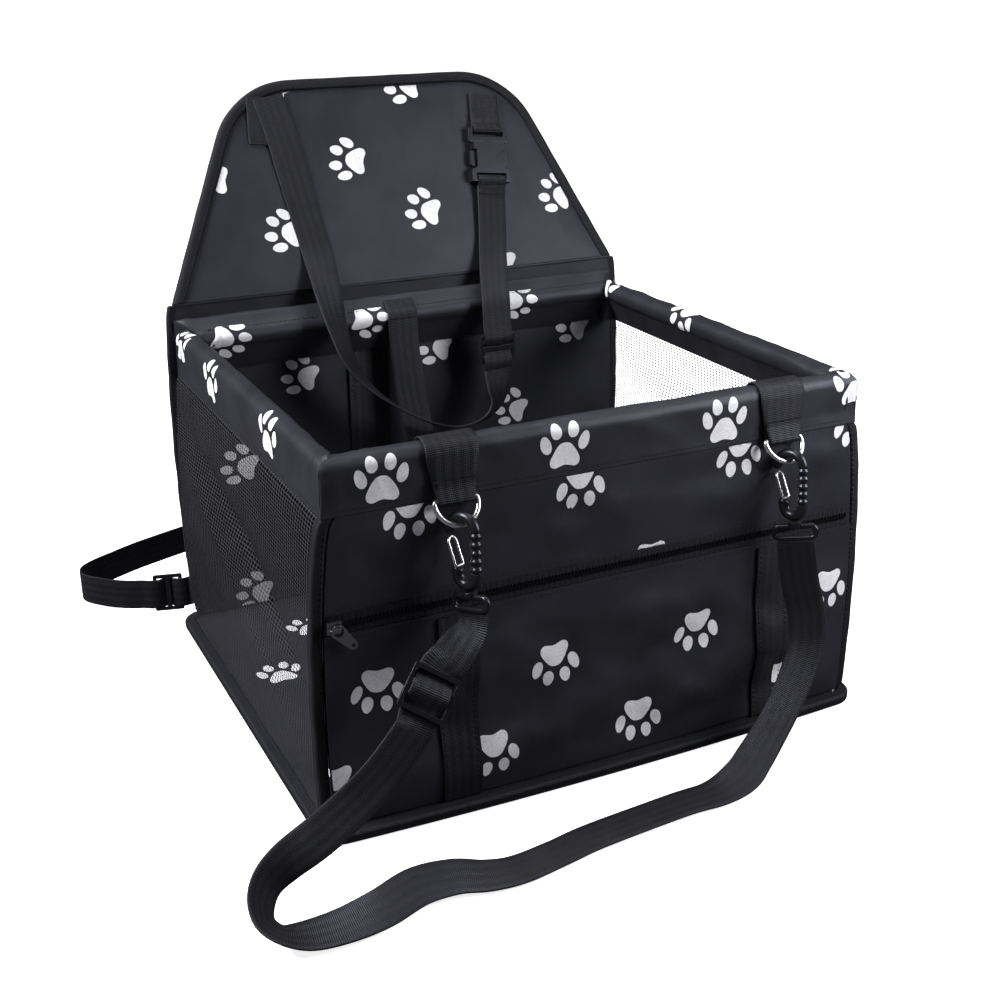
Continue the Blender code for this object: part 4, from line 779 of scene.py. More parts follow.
backInside, backOutside = backFace(0.0, -1), backFace(backSettings["thick"], 1)
backWall = clothGrid("backWall", 72, 46, wallSpread(box["backTop"], backSettings["edge"], True), backInside,
                     cloth, backSettings["thick"], (0, -1, 0))
insidePaws = printPaws(backWall, [
    (-0.0935, 0.198, 68), (0.023, 0.207, 72), (0.152, 0.209, 66), (-0.036, 0.1385, 70), (0.093, 0.1435, 66),
    (-0.148, 0.131, 70), (0.025, 0.082, 70), (0.150, 0.078, 68), (-0.144, 0.020, 70), (0.090, 0.026, 70)],
    within(backInside, 0.0088, 0.2115, True), "insidePaws")
outsidePaws = printPaws(backWall, [
    (-0.215 + 0.107 * column + 0.053 * (row % 2), 0.035 + 0.062 * row, 180 if row % 2 else 0)
    for row in range(4) for column in range(5)], within(backOutside, 0.0088, 0.263, True), "outsidePaws")
stripItem = clothGrid(
    "backStrip", 8, 40, lambda s, t: (backSettings["stripX"] + backSettings["stripWidth"] * (s - 0.5),
                                      box["wallBottom"] + backSettings["stripTall"] * t),
    lambda a, b: Vector((a, box["backY"] - backSettings["stripAhead"], b)), webbing, wall["stripThick"],
    (0, -1, 0))
attach(backWall, "box", "back_panel")
attach(stripItem, "box", "back_wall_strap")
print("back wall made")


# Base: edge tape, floor cloth and under cloth
baseSettings = dict(tape=0.009, tapeHigh=0.008, tapeCorner=0.0024, dent=0.00025, clothInset=0.0093,
                    thick=0.0011, uvStep=0.0018)


def baseOutline(inset):
    halfX, halfY = box["baseHalfX"] - inset, box["baseHalfY"] - inset
    corner = box["baseCorner"] - inset
    bowed = []
    for u, v in fillOutline(roundedBox(halfX, halfY, corner, 7), 0.006):
        bow = box["bow"] * max(1 - (u / halfX) ** 2, 0) if v < -halfY + corner else 0
        bowed.append((u, v - bow * clamped((-v - halfY + corner) / corner, 0, 1)))
    return bowed


def makeBaseEdge():
    half, middle = baseSettings["tape"] / 2, baseSettings["tapeHigh"] / 2
    section = roundedBox(half, middle, baseSettings["tapeCorner"])
    outer, inner = baseOutline(0.0), baseOutline(baseSettings["tape"])
    marks = lengthMarks(outer + outer[:1])
    loops = []
    for at, start, end in zip(marks, outer, inner):
        dent = abs(baseSettings["dent"] * math.sin(at * 800))
        loop = []
        for u, v in section:
            spot = mix(start, end, (half - u) / baseSettings["tape"])
            loop.append(Vector((*spot, middle + v - (dent if v > 0 else 0))))
        loops.append(loop)
    uvs = [[(k * baseSettings["uvStep"], at) for k in range(len(section) + 1)] for at in marks]
    return loft("baseEdge", loops, tape, ring=True, uvs=uvs)


def baseSpread(s, t):
    # grid shares to a round-cornered rectangle, bowed at the front
    inset = baseSettings["clothInset"]
    halfX, halfY, corner = box["baseHalfX"] - inset, box["baseHalfY"] - inset, box["baseCorner"] - inset
    x, y = (2 * s - 1) * halfX, (2 * t - 1) * halfY
    over = abs(y) - (halfY - corner)
    if over > 0:
        limit = halfX - corner + math.sqrt(max(corner ** 2 - over ** 2, 0))
        x *= limit / halfX
    if y < 0:
        y -= box["bow"] * max(1 - (x / halfX) ** 2, 0) * max(-y / halfY, 0) ** 8
    return x, y


def floorPlace(a, b, lift=0.0):
    return Vector((a, b, box["floorTop"] - min(abs(wrinkle(a, b, 9.0, 0.05, 0.0005)), 0.0006) + lift))


baseEdge = makeBaseEdge()
floorCloth = clothGrid("floorCloth", 70, 60, baseSpread, floorPlace, cloth, baseSettings["thick"], (0, 0, 1))
floorPaws = printPaws(floorCloth, [
    (-0.162, 0.044, 0), (-0.118, 0.108, 0), (-0.070, 0.040, 180), (-0.116, -0.030, 180), (-0.020, -0.030, 0),
    (0.020, 0.105, 180), (0.075, 0.035, 0), (0.125, -0.035, 180), (-0.070, -0.105, 0), (0.030, -0.105, 180),
    (0.125, 0.105, 0), (-0.162, -0.105, 0)], floorPlace, "floorPaws")
underCloth = clothGrid("underCloth", 60, 50, baseSpread, lambda a, b: Vector((a, b, 0.0)), cloth,
                       baseSettings["thick"], (0, 0, -1))
attach(baseEdge, "box", "base_binding")
attach(floorCloth, "box", "floor_panel")
attach(underCloth, "box", "base_cover")
print("base made")


# Mesh walls
netSettings = dict(foldDepth=0.009, foldHalf=0.030, foldFront=0.40, foldBack=0.86, backBelly=0.67,
                   sharp=0.016, second=0.0035, secondBelow=0.052, secondSlant=0.03, secondSharp=0.010,
                   ripple=0.0022, wrinkle=0.0016, startIn=0.0012, endOut=0.0014, halfX=0.1893, uvWide=0.32,
                   uvHigh=0.205)


def netPoint(side, along, up):
    front = -box["faceY"] + box["bindDepth"] + box["gap"] - netSettings["startIn"]
    y = front + (box["backY"] + netSettings["endOut"] - front) * along
    tall = box["wallTop"] - box["wallBottom"]
    z = box["wallBottom"] + tall * up
    line = netSettings["foldFront"] + (netSettings["foldBack"] - netSettings["foldFront"]) * along
    away = (up - line) * tall
    inside = 0 < along < 1 and 0 < up < 1
    fade = math.sin(math.pi * along) ** 0.5 * math.sin(math.pi * up) if inside else 0
    crease = abs(math.sin(away * 62 + along * 2.0)) ** 3 * netSettings["ripple"]
    crease += abs(wrinkle(y, z, 12 + side, 0.05, netSettings["wrinkle"]))
    if side < 0:
        ridge = math.exp(-abs(away) / netSettings["sharp"])
        below = abs(away + netSettings["secondBelow"] - netSettings["secondSlant"] * along)
        second = netSettings["second"] * math.exp(-below / netSettings["secondSharp"])
    else:
        ridge, second = math.exp(-(away / netSettings["foldHalf"]) ** 2), 0
    fold = (netSettings["foldDepth"] * ridge + crease - second) * fade
    bulge = bellyOut(z) * (1 - (1 - netSettings["backBelly"]) * along)
    return Vector((side * (netSettings["halfX"] + bulge - fold), y, z))


for name, side, node in (("leftNet", -1, "left_mesh"), ("rightNet", 1, "right_mesh")):
    net = evenGrid(110, 74)
    for loop in net.data.uv_layers.active.data:
        loop.uv = (netSettings["uvWide"] * loop.uv[0], netSettings["uvHigh"] * loop.uv[1])
    for vert in net.data.vertices:
        vert.co = netPoint(side, vert.co.x + 0.5, vert.co.y + 0.5)
    net.data.update()
    attach(finishMesh(net, name, netCloth, 60), "box", node)
print("mesh walls made")


# Rim sleeves
rim = dict(x=0.1815, y=0.1555, z=0.2385, radius=0.0085, tail=0.003, drop=0.0265, rise=0.016, pucker=0.0015,
           step=0.004, mitre=0.0004, fill=0.003, backTurns=(125, 235), overTurn=230,
           gather=1.6, gatherReach=0.045, soft=0.8, seam=0.35, seamPitch=0.0105, most=1.25)


def sleeveOutline(back):
    radius, tail, drop, rise = rim["radius"], rim["tail"], rim["drop"], rim["rise"]
    outline = arc((0, 0), radius, *(rim["backTurns"] if back else (0, 235)), 22 if back else 36)
    outline += [(radius - tail, -drop), (radius, -drop)]
    if back:
        outline += [(radius, rise), (radius - tail, rise)]
    return fillOutline(outline, rim["fill"])


rimSides = {
    "Front": (rim["x"], lambda u, v, w: Vector((w, -rim["y"] - u, rim["z"] + v))),
    "Back": (rim["x"], lambda u, v, w: Vector((-w, rim["y"] + u, rim["z"] + v))),
    "Left": (rim["y"], lambda u, v, w: Vector((-rim["x"] - u, -w, rim["z"] + v))),
    "Right": (rim["y"], lambda u, v, w: Vector((rim["x"] + u, w, rim["z"] + v))),
}
sleeveSeeds = {"Front": 20, "Back": 21, "Left": 22, "Right": 23}


def puckerAt(half, u, v, w, seed):
    # cloth sinks a little between the stitches and gathers towards the corners
    near = max(1 - (half - abs(w)) / rim["gatherReach"], 0)
    low = clamped(-v / rim["drop"], 0, 1)
    gather = abs(noise.noise(Vector((w / 0.007, v / 0.03, seed)))) * near * rim["gather"]
    soft = abs(noise.noise(Vector((w / 0.035, v / 0.02 + u / 0.02, seed + 4)))) * rim["soft"]
    sway = noise.noise(Vector((w / 0.05, 0, seed))) * 3
    seam = abs(math.sin(w / rim["seamPitch"] + sway)) * low * rim["seam"]
    calm = clamped((v + rim["drop"]) / 0.009, 0.12, 1)
    return rim["pucker"] * min(gather + soft + seam, rim["most"]) * calm


def makeSleeve(side):
    half, place = rimSides[side]
    outline = sleeveOutline(side == "Back")
    count = len(outline)
    steps = int(2 * half / rim["step"])
    around = lengthMarks(outline + outline[:1])
    loops, uvs = [], []
    for j in range(steps + 1):
        loop, pairs = [], []
        for k, (u, v) in enumerate(outline):
            w = (-1 + 2 * j / steps) * (half + u - rim["mitre"])
            before, after = outline[k - 1], outline[(k + 1) % count]
            normal = Vector((after[1] - before[1], before[0] - after[0]))
            normal = normal.normalized() if normal.length > 1e-9 else Vector((1, 0))
            centre = Vector((u, v)) - Vector((0, min(v, 0) * 0.6))
            if normal.dot(centre) < 0:
                normal = -normal
            sink = puckerAt(half, u, v, w, sleeveSeeds[side])
            loop.append(place(u - normal.x * sink, v - normal.y * sink, w))
            pairs.append((around[k], w))
        loops.append(loop)
        uvs.append(pairs + [(around[count], pairs[0][1])])
    return loft("sleeve" + side, loops, cloth, uvs=uvs, angle=60)


def roundTube(degrees):
    turn = math.radians(degrees)
    return rim["radius"] * math.cos(turn), rim["radius"] * math.sin(turn), (math.cos(turn), math.sin(turn))


def innerBack(b):
    # the inside of the back sleeve: its lower slope, the tube, then the upper slope
    radius, inset = rim["radius"], rim["radius"] - rim["tail"]
    high, low = (Vector(roundTube(turn)[:2]) for turn in rim["backTurns"])
    foot, top = Vector((inset, -rim["drop"])), Vector((inset, rim["rise"]))
    slope = (low - foot).length
    tube = radius * math.radians(rim["backTurns"][1] - rim["backTurns"][0])
    if b < slope:
        return (*foot.lerp(low, b / slope), (-0.9, -0.35))
    if b < slope + tube:
        return roundTube(rim["backTurns"][1] - math.degrees((b - slope) / radius))
    return (*high.lerp(top, clamped((b - slope - tube) / (top - high).length, 0, 1)), (-0.62, 0.78))


def sleeveFace(side, inner=False):
    # a = along the sleeve (w), b = round its outline from the lower outer edge
    half, place = rimSides[side]
    radius, drop = rim["radius"], rim["drop"]

    def onSleeve(a, b, lift):
        b = clamped(b, 0.001, 0.0415) if side == "Back" else max(b, 0.001)
        if inner:
            u, v, normal = innerBack(b)
        elif side == "Back" or b < drop:
            u, v, normal = radius, b - drop, (1, 0)
        else:
            u, v, normal = roundTube(min(math.degrees((b - drop) / radius), rim["overTurn"]))
        limit = half + u - 0.001
        w = clamped(a, -limit, limit)
        sink = (puckerAt(half, u, v, w, sleeveSeeds[side]) - lift) / math.hypot(*normal)
        return place(u - normal[0] * sink, v - normal[1] * sink, w)
    return onSleeve


sleeves = {side: attach(makeSleeve(side), "box", "sleeve_" + side.lower()) for side in rimSides}
for side, inner, spots in (
    ("Front", False, ((-0.152, 0.019, 0), (-0.033, 0.020, 0), (0.083, 0.018, 0), (0.187, 0.028, 0))),
    ("Back", True, ((0.038, 0.030, 108), (0.1505, 0.028, 112), (-0.094, 0.030, 112))),
    ("Back", False, ((-0.140, 0.018, 0), (-0.030, 0.018, 0), (0.080, 0.018, 0))),
    ("Left", False, ((-0.148, 0.029, 5), (-0.064, 0.022, -8), (0.068, 0.023, -6))),
    ("Right", False, ((0.148, 0.042, 155), (0.030, 0.046, -25), (-0.161, 0.0455, 155), (-0.09, 0.015, 180),
                      (0.09, 0.015, 180))),
):
    printPaws(sleeves[side], spots, sleeveFace(side, inner))
tuck = dict(low=0.2128, high=0.2478, radius=0.0074, pleat=0.0007, shoulder=0.42, rows=26, around=40)


def makeTuck(name, sx, sy, seed):
    # gathered cloth where two sleeves meet at a corner
    loops, uvs = [], []
    for j in range(tuck["rows"] + 1):
        share = j / tuck["rows"]
        z = tuck["low"] + (tuck["high"] - tuck["low"]) * share
        over = max(share - tuck["shoulder"], 0) / (1 - tuck["shoulder"])
        bulb = math.sqrt(max(1 - over ** 2, 0)) if over else 0.86 + 0.14 * share / tuck["shoulder"]
        loop = []
        for k in range(tuck["around"]):
            turn = 2 * math.pi * k / tuck["around"]
            pleat = abs(math.sin(3.5 * turn + seed)) * (0.4 + share)
            soft = noise.noise(Vector((math.cos(turn) * 1.6, math.sin(turn) * 1.6, z / 0.012 + seed)))
            radius = (tuck["radius"] + tuck["pleat"] * (soft - pleat)) * bulb + 0.0001
            u, v = turned(radius, 0, turn)
            loop.append(Vector((sx * rim["x"] + u, sy * rim["y"] + v, z)))
        loops.append(loop)
        uvs.append([(k * 0.0015, z) for k in range(tuck["around"] + 1)])
    attach(loft(name, loops, cloth, uvs=uvs, angle=70), "box")


for row, (depth, sy) in enumerate((("front", -1), ("back", 1))):
    for column, (wing, sx) in enumerate((("left", -1), ("right", 1))):
        makeTuck("tuck" + depth.title() + wing.title(), sx, sy, (2 * row + column) * 2.3)
        dress("rim_elbow_" + depth + "_" + wing, dullPlastic)
for side in rimSides:
    dress("rim_tube_" + side.lower(), greyPipe)
dress("base_board", board)
print("rim made")


# Corner bindings
binding = dict(sway=0.0004, squeeze=0.05, wave=850, corner=0.0019, uvStep=0.0016)


def makeCornerBinding(depth, side, low, high, top):
    # side is the wing's name and its sign along x
    back = depth == "back"
    section = roundedBox(box["bindWidth"] / 2, (high - low) / 2, binding["corner"])
    loops, uvs = [], []
    rows = 60
    for j in range(rows + 1):
        z = box["wallBottom"] + (top - box["wallBottom"]) * j / rows
        sway = binding["sway"] * noise.noise(Vector((z / 0.02, side[1] * 3.0, 1.0 if back else 7.0)))
        squeeze = 1 - binding["squeeze"] * abs(math.sin(z * binding["wave"]))
        middle = Vector((side[1] * cornerX(z, back) + sway, (low + high) / 2, z))
        loops.append([middle + Vector((u * squeeze, v * squeeze, 0)) for u, v in section])
        uvs.append([(k * binding["uvStep"], z) for k in range(len(section) + 1)])
    item = loft(depth + "Binding" + side[0].title(), loops, tape, uvs=uvs)
    attach(item, "box", "corner_binding_" + depth + "_" + side[0])


for side in (("left", -1), ("right", 1)):
    makeCornerBinding("front", side, -box["faceY"], -box["faceY"] + box["bindDepth"], box["wallTop"])
    makeCornerBinding("back", side, box["backY"], box["backY"] + box["backBindDepth"], box["backTop"])
print("corner bindings made")


# Head flap
flap = dict(lean=20.0, length=0.163, bottom=0.1895, top=0.1160, corner=0.070, edge=0.009, foot=0.0012,
            thick=0.005, edgeThick=0.0074, edgeCorner=0.0026, seatY=0.1643, setOff=0.0016, buckleX=0.086,
            bulge=0.0016, sunk=0.0006, riseReach=0.022, strapHalf=0.016, strapFade=0.014,
            patch=(-0.083, 0.135, 0.026, 0.035), wrinkle=0.0012, tuckIn=0.0012, bindStep=0.004,
            bindPinch=0.04, bindWave=700, bindUv=0.0017, sewnIn=0.0026, sewnW=0.00372)
hingeSeam = dict(half=0.1885, count=120, out=0.0003, radius=0.0019, swell=0.10, uvStep=0.0005)
flapTurn = Matrix.Rotation(math.radians(-flap["lean"]), 3, "X")
flapSet = Matrix.Rotation(math.radians(flap["lean"]), 3, "X") @ Vector((0, flap["setOff"], 0))
flapSeat = Vector((0, flap["seatY"], box["hinge"]))


def flapPoint(u, v, w):
    return flapSeat + flapTurn @ (Vector((u, -w, v)) + flapSet)


def flapHalf(v, inset):
    # half width of the flap at a height, straight side then a round corner
    side = Vector((flap["top"] - flap["bottom"], flap["length"])).normalized()
    normal = Vector((side.y, -side.x))
    start = Vector((flap["bottom"], 0)) - normal * inset
    radius = flap["corner"] - inset
    centreV = flap["length"] - inset - radius
    touch = start + side * ((centreV + radius * normal.y - start.y) / side.y)
    if v <= touch.y:
        return (start + side * ((v - start.y) / side.y)).x
    return touch.x - radius * normal.x + math.sqrt(max(radius ** 2 - (v - centreV) ** 2, 0))


def flapFront(u, v):
    # thickness of the padded panel at a point, sunk near its seam and along the strap
    top = flap["length"] - flap["edge"]
    edge = min(flapHalf(v, flap["edge"]) - abs(u), top - v, v + 0.004)
    rise = clamped(edge / flap["riseReach"], 0, 1) ** 0.5
    strap = abs(u - flap["buckleX"] + (v - 0.100) * 0.096)
    patchU, patchV, wide, high = flap["patch"]
    fromPatch = math.hypot((u - patchU) / wide, (v - patchV) / high)
    flat = 1 - clamped((strap - flap["strapHalf"]) / flap["strapFade"], 0, 1)
    dent = max(flat, 1 - clamped((fromPatch - 1) / 0.8, 0, 1))
    soft = wrinkle(u, v, 31.0, 0.045, flap["wrinkle"])
    return flap["thick"] / 2 - flap["sunk"] * (1 - rise) + (flap["bulge"] * rise + soft) * (1 - dent) * rise


def flapBack(u, v):
    return -flap["thick"] / 2 - 0.5 * (flapFront(u, v) - flap["thick"] / 2)


def makeFlap():
    low, high = flap["foot"], flap["length"] - flap["edge"] + flap["tuckIn"]
    rows, columns = 44, 48
    loops, uvs = [], []
    for j in range(rows + 1):
        share = math.sin(math.pi / 2 * j / rows) ** 0.9
        v = low + (high - low) * share
        half = max(flapHalf(v, flap["edge"] - flap["tuckIn"]), 0.01)
        us = [half * math.sin(math.pi / 2 * (2 * i / columns - 1)) for i in range(columns + 1)]
        loops.append([flapPoint(u, v, flapFront(u, v)) for u in us]
                     + [flapPoint(u, v, flapBack(u, v)) for u in reversed(us)])
        uvs.append([(u, v) for u in us + us[::-1] + us[:1]])
    return loft("headFlap", loops, cloth, uvs=uvs, angle=60)


def flapFace(front):
    def place(u, v, lift):
        v = clamped(v, flap["foot"] + 0.0005, flap["length"] - flap["edge"] - 0.0006)
        half = flapHalf(v, flap["edge"] + 0.0008)
        u = clamped(u, -half, half)
        return flapPoint(u, v, flapFront(u, v) + lift if front else flapBack(u, v) - lift)
    return place


headFlap = makeFlap()
printPaws(headFlap, [
    (-0.034, 0.098, 78), (0.022, 0.155, 80), (0.023, 0.054, 72), (-0.095, 0.047, 75), (-0.146, 0.092, 78),
    (0.144, 0.057, 70), (0.083, 0.006, 70), (-0.092, 0.148, 72)], flapFace(True))
printPaws(headFlap, [
    (-0.13, 0.03, 0), (-0.03, 0.03, 0), (0.07, 0.03, 0), (-0.08, 0.09, 180), (0.02, 0.09, 180),
    (0.12, 0.09, 180)], flapFace(False))
attach(headFlap, "flap", "head_flap")


def makeHingeSeam():
    # the sewn fold that the flap turns about
    count = hingeSeam["count"]
    section = arc((hingeSeam["out"], 0), hingeSeam["radius"], 0, 345, 23)
    loops, uvs = [], []
    for i in range(count + 1):
        u = hingeSeam["half"] * (2 * i / count - 1)
        swell = 1 + hingeSeam["swell"] * noise.noise(Vector((u / 0.012, 3.0, 0)))
        loops.append([flapPoint(u, a * swell, b * swell) for a, b in section])
        uvs.append([(k * hingeSeam["uvStep"], u) for k in range(len(section) + 1)])
    attach(loft("hingeSeam", loops, cloth, uvs=uvs), "box")


def makeFlapBinding():
    # folded tape round the flap's edge
    half = flap["edge"] / 2
    rows = 40
    vTop = flap["length"] - half
    straight = [flap["foot"] + (vTop - flap["foot"]) * (1 - (1 - k / rows) ** 2.2) for k in range(rows + 1)]
    right = [(flapHalf(v, half), v) for v in straight]
    over = [(right[-1][0] * (1 - 2 * k / 34), vTop) for k in range(1, 34)]
    path = right + over + [(-u, v) for u, v in reversed(right)]
    marks = lengthMarks(path)
    section = roundedBox(half, flap["edgeThick"] / 2, flap["edgeCorner"], 5)
    count = int(marks[-1] / flap["bindStep"])
    stations = []
    for i in range(count + 1):
        mark = marks[-1] * i / count
        k, share = locate(marks, mark)
        stations.append((*mix(path[k], path[k + 1], share), mark))
    loops, uvs = [], []
    for i, (u, v, mark) in enumerate(stations):
        before, after = stations[max(i - 1, 0)], stations[min(i + 1, count)]
        along = Vector((after[0] - before[0], after[1] - before[1])).normalized()
        if i in (0, count):
            along = Vector((0, 1 if i == 0 else -1))
        ease = 1 - flap["bindPinch"] * abs(math.sin(mark * flap["bindWave"]))
        loops.append([flapPoint(u + along.y * a * ease, v - along.x * a * ease, b * ease)
                      for a, b in section])
        uvs.append([(n * flap["bindUv"], mark) for n in range(len(section) + 1)])
    attach(loft("flapBinding", loops, tape, uvs=uvs), "flap", "head_flap_binding")
    return stations


makeHingeSeam()
flapStations = makeFlapBinding()
print("head flap made")


# Webbing pieces
lead = dict(slider=0.055, sliderHalf=0.014, split=(0.0175, 0.0215))
leadShort, shortPath, _ = strapThroughGlide("leadUpper", leadRoute, lead["slider"], lead["sliderHalf"],
                                            span=(0.0, lead["split"][1]))
leadMain, leadPath, leadAt = strapThroughGlide("leadLong", leadRoute, lead["slider"], lead["sliderHalf"],
                                               span=(lead["split"][0], 1.0))
for item in (leadShort, leadMain):
    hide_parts("lead_strap")
tuple(shortPath[-1])
tuple(shortPath[0])
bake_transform(leadShort)
tuple(leadPath[int(len(leadPath) * 0.80)])
tuple(leadPath[-1])
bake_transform(leadMain)
tuple(leadPath[0])
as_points(leadPath)

headrest = dict(slider=0.017, sliderHalf=0.0115, top=((-0.0899, 0.2136, 0.4065), (0.98, 0.06, 0.17)))
headStrap, headPath, headAt = plainStrap("headrestStrap", [headrest["top"]] + headrestRoute)
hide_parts("headrest_strap")
tuple(headPath[0])
tuple(headPath[-1])
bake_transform(headStrap)
headRun, runPath, runAt = strapThroughGlide("headrestRun", runRoute, headrest["slider"],
                                            headrest["sliderHalf"])
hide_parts("headrest_run")
tuple(runPath[int(len(runPath) * 0.45)])
tuple(runPath[-1])
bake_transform(headRun)
tuple(headPath[0])
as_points(headPath)
tuple(runPath[-1])
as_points(runPath[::-1])

waist = dict(slider=0.062, sliderHalf=0.0115)
waistStrap, waistPath, waistAt = strapThroughGlide("waistStrap", waistRoute, waist["slider"],
                                                   waist["sliderHalf"])
attach(waistStrap, "box", "waist_strap")
tuple(waistPath[0])
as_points(waistPath)

leashStrap, leashPath, leashAt = plainStrap("leashStrap", leashRoute)
attach(leashStrap, "box", "leash_strap")
tuple(leashPath[0])
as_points(leashPath)
print("straps made:", *(round(at[-1], 3) for at in (leadAt, headAt, runAt, waistAt, leashAt)))


def flatPath(name, x, path, widths=None):
    # a strap that lies along a line of (y, z) points
    points = [Vector((x, y, z)) for y, z in path]
    widths = widths or [0.025] * len(points)
    dense, sizes = [], []
    for i in range(len(points) - 1):
        parts = max(int((points[i + 1] - points[i]).length / 0.0015), 1)
        for k in range(parts):
            dense.append(points[i].lerp(points[i + 1], k / parts))
            sizes.append(widths[i] + (widths[i + 1] - widths[i]) * k / parts)
    dense.append(points[-1])
    sizes.append(widths[-1])
    return makeStrap(name, dense, [Vector((1, 0, 0))] * len(dense), lengthMarks(dense), widths=sizes)


ring = dict(leftX=-0.108, rightX=0.127, y=0.1678, z=0.2115, wire=0.0016, arc=0.0139, leg=0.002, corner=0.0018,
            leftTilt=32.0, rightTilt=36.0, loopWide=0.034, loopNarrow=0.0238, ply=0.0016, tail=(0.008, 0.012),
            leashX=-0.0115, leashSlope=0.55)
hug = rim["radius"] + box["gap"] + ring["ply"] / 2


def makeRingLoop(side):
    over = arc((0, 0), hug, 215, 0, 40)
    path = [(-rim["y"] - u, rim["z"] + v) for u, v in over]
    wrap = ring["wire"] + box["gap"] + ring["ply"] / 2
    path += [(-ring["y"] + u, ring["z"] + v) for u, v in arc((0, 0), wrap, 0, -180, 16)]
    tailY = -rim["y"] - hug - ring["ply"] - box["gap"]
    path += [(tailY, ring["z"] + rise) for rise in ring["tail"]]
    widths = []
    for i, (y, z) in enumerate(path):
        share = clamped((rim["z"] - z) / (rim["z"] - ring["z"]), 0, 1) if i >= len(over) - 1 else 0
        widths.append(ring["loopWide"] + (ring["loopNarrow"] - ring["loopWide"]) * share)
    attach(flatPath("ringLoop" + side.title(), ring[side + "X"], path, widths), "box", "ring_loop_" + side)


def makeLeashTab():
    path = [(rim["y"] + u, rim["z"] + v) for u, v in arc((0, 0), hug, 125, 180, 14)]
    start = Vector(arc((0, 0), rim["radius"], 125, 0, 1)[0])
    rise = Vector((rim["radius"] - rim["tail"], rim["rise"]))
    high = Vector(path[0]) + (rise - start) * ring["leashSlope"]
    attach(flatPath("leashTab", ring["leashX"], [tuple(high)] + path), "box", "leash_tab")


makeRingLoop("left")
makeRingLoop("right")
makeLeashTab()
buckle = dict(x=0.086, bottom=0.070, skew=5.5, female=0.032, tabLow=0.0449, tabHigh=0.0725, tabW=0.0028,
              tabThick=0.0031, tabSewn=0.00318, tabCentre=0.0016)
patch = dict(u=-0.0985, low=0.114, step=0.003, slant=0.10, w=0.0034, width=0.024, thick=0.0014)
buckleTurn = Matrix.Rotation(math.radians(buckle["skew"]), 3, "Y")
buckleShift = math.sin(math.radians(buckle["skew"])) * buckle["female"] / 2
buckleFoot = Vector((buckle["x"] - buckleShift, 0, buckle["bottom"]))


def bucklePoint(u, v, w):
    return flapSeat + flapTurn @ (flapSet + buckleFoot + buckleTurn @ Vector((u, 0, v)) + Vector((0, -w, 0)))


def makeTab():
    # two plies of webbing sewn to the flap above the buckle
    at = [buckle["tabLow"] + (buckle["tabHigh"] - buckle["tabLow"]) * k / 10 for k in range(11)]
    centres = [bucklePoint(0, v, buckle["tabW"] + buckle["tabCentre"]) for v in at]
    turns = [bucklePoint(1, v, 0) - bucklePoint(0, v, 0) for v in at]
    attach(makeStrap("headrestTab", centres, turns, at, thick=buckle["tabThick"]), "flap", "headrest_tab")


def makePatch():
    # the strap's turned-under end, sewn to the flap beneath it
    at = [patch["low"] + patch["step"] * k for k in range(13)]
    centres = [flapPoint(patch["u"] + patch["slant"] * (v - at[0]), v, patch["w"]) for v in at]
    turns = [Vector((1, 0, 0))] * len(at)
    attach(makeStrap("headrestPatch", centres, turns, at, width=patch["width"], thick=patch["thick"]), "flap")


def makeWrap(name, path):
    # webbing folded over a buckle bar and into its slot; path holds (v, w) in the buckle's own frame
    across = bucklePoint(1, 0, 0) - bucklePoint(0, 0, 0)
    route = smoothRoute([(bucklePoint(0, v, w), across) for v, w in path], 6)
    attach(makeStrap(name, *evenRoute(*route, 0.0008), width=0.0244), "flap")


makeTab()
makePatch()
makeWrap("upperWrap", ((0.0560, 0.0066), (0.0500, 0.0068), (0.0464, 0.0084), (0.0448, 0.0098),
                       (0.0430, 0.0102), (0.0412, 0.0096), (0.0404, 0.0080), (0.0403, 0.0060),
                       (0.0408, 0.0044)))
makeWrap("lowerWrap", ((-0.0090, 0.0091), (-0.0045, 0.0095), (-0.0016, 0.0112), (0.0000, 0.0125),
                       (0.0020, 0.0128), (0.0038, 0.0121), (0.0047, 0.0102), (0.0048, 0.0070),
                       (0.0046, 0.0042)))
print("loops and tabs made")


# Metal and hooks
def sweep(name, path, radii, place, material, sides=20, closed=False, angle=40):
    loops = []
    count = len(path)
    for i, (u, v) in enumerate(path):
        before = path[(i - 1) % count] if closed else path[max(i - 1, 0)]
        after = path[(i + 1) % count] if closed else path[min(i + 1, count - 1)]
        along = Vector((after[0] - before[0], after[1] - before[1])).normalized()
        radius = radii[i] if isinstance(radii, list) else radii
        loop = []
        for k in range(sides):
            out, rise = turned(radius, 0, 2 * math.pi * k / sides)
            loop.append(place(u - along.y * out, v + along.x * out, rise))
        loops.append(loop)
    return loft(name, loops, material, ring=closed, angle=angle)


def makeRing(side):
    spot = Vector((ring[side + "X"], -ring["y"], ring["z"]))
    turn = Matrix.Rotation(math.radians(-ring[side + "Tilt"]), 3, "X")
    radius, corner = ring["arc"], ring["corner"]
    path = arc((0, -ring["leg"]), radius, 180, 360, 40)
    path += arc((radius - corner, -corner), corner, 0, 90, 6)[1:]
    path += [(radius * (1 - k / 5) * 0.85, 0) for k in range(1, 10)]
    path += arc((-radius + corner, -corner), corner, 90, 180, 6)[:-1]
    item = sweep("dRing" + side.title(), path, ring["wire"], lambda u, v, w: spot + turn @ Vector((u, w, v)),
                 nickel, closed=True)
    attach(item, side + "_ring", "d_ring_" + side)


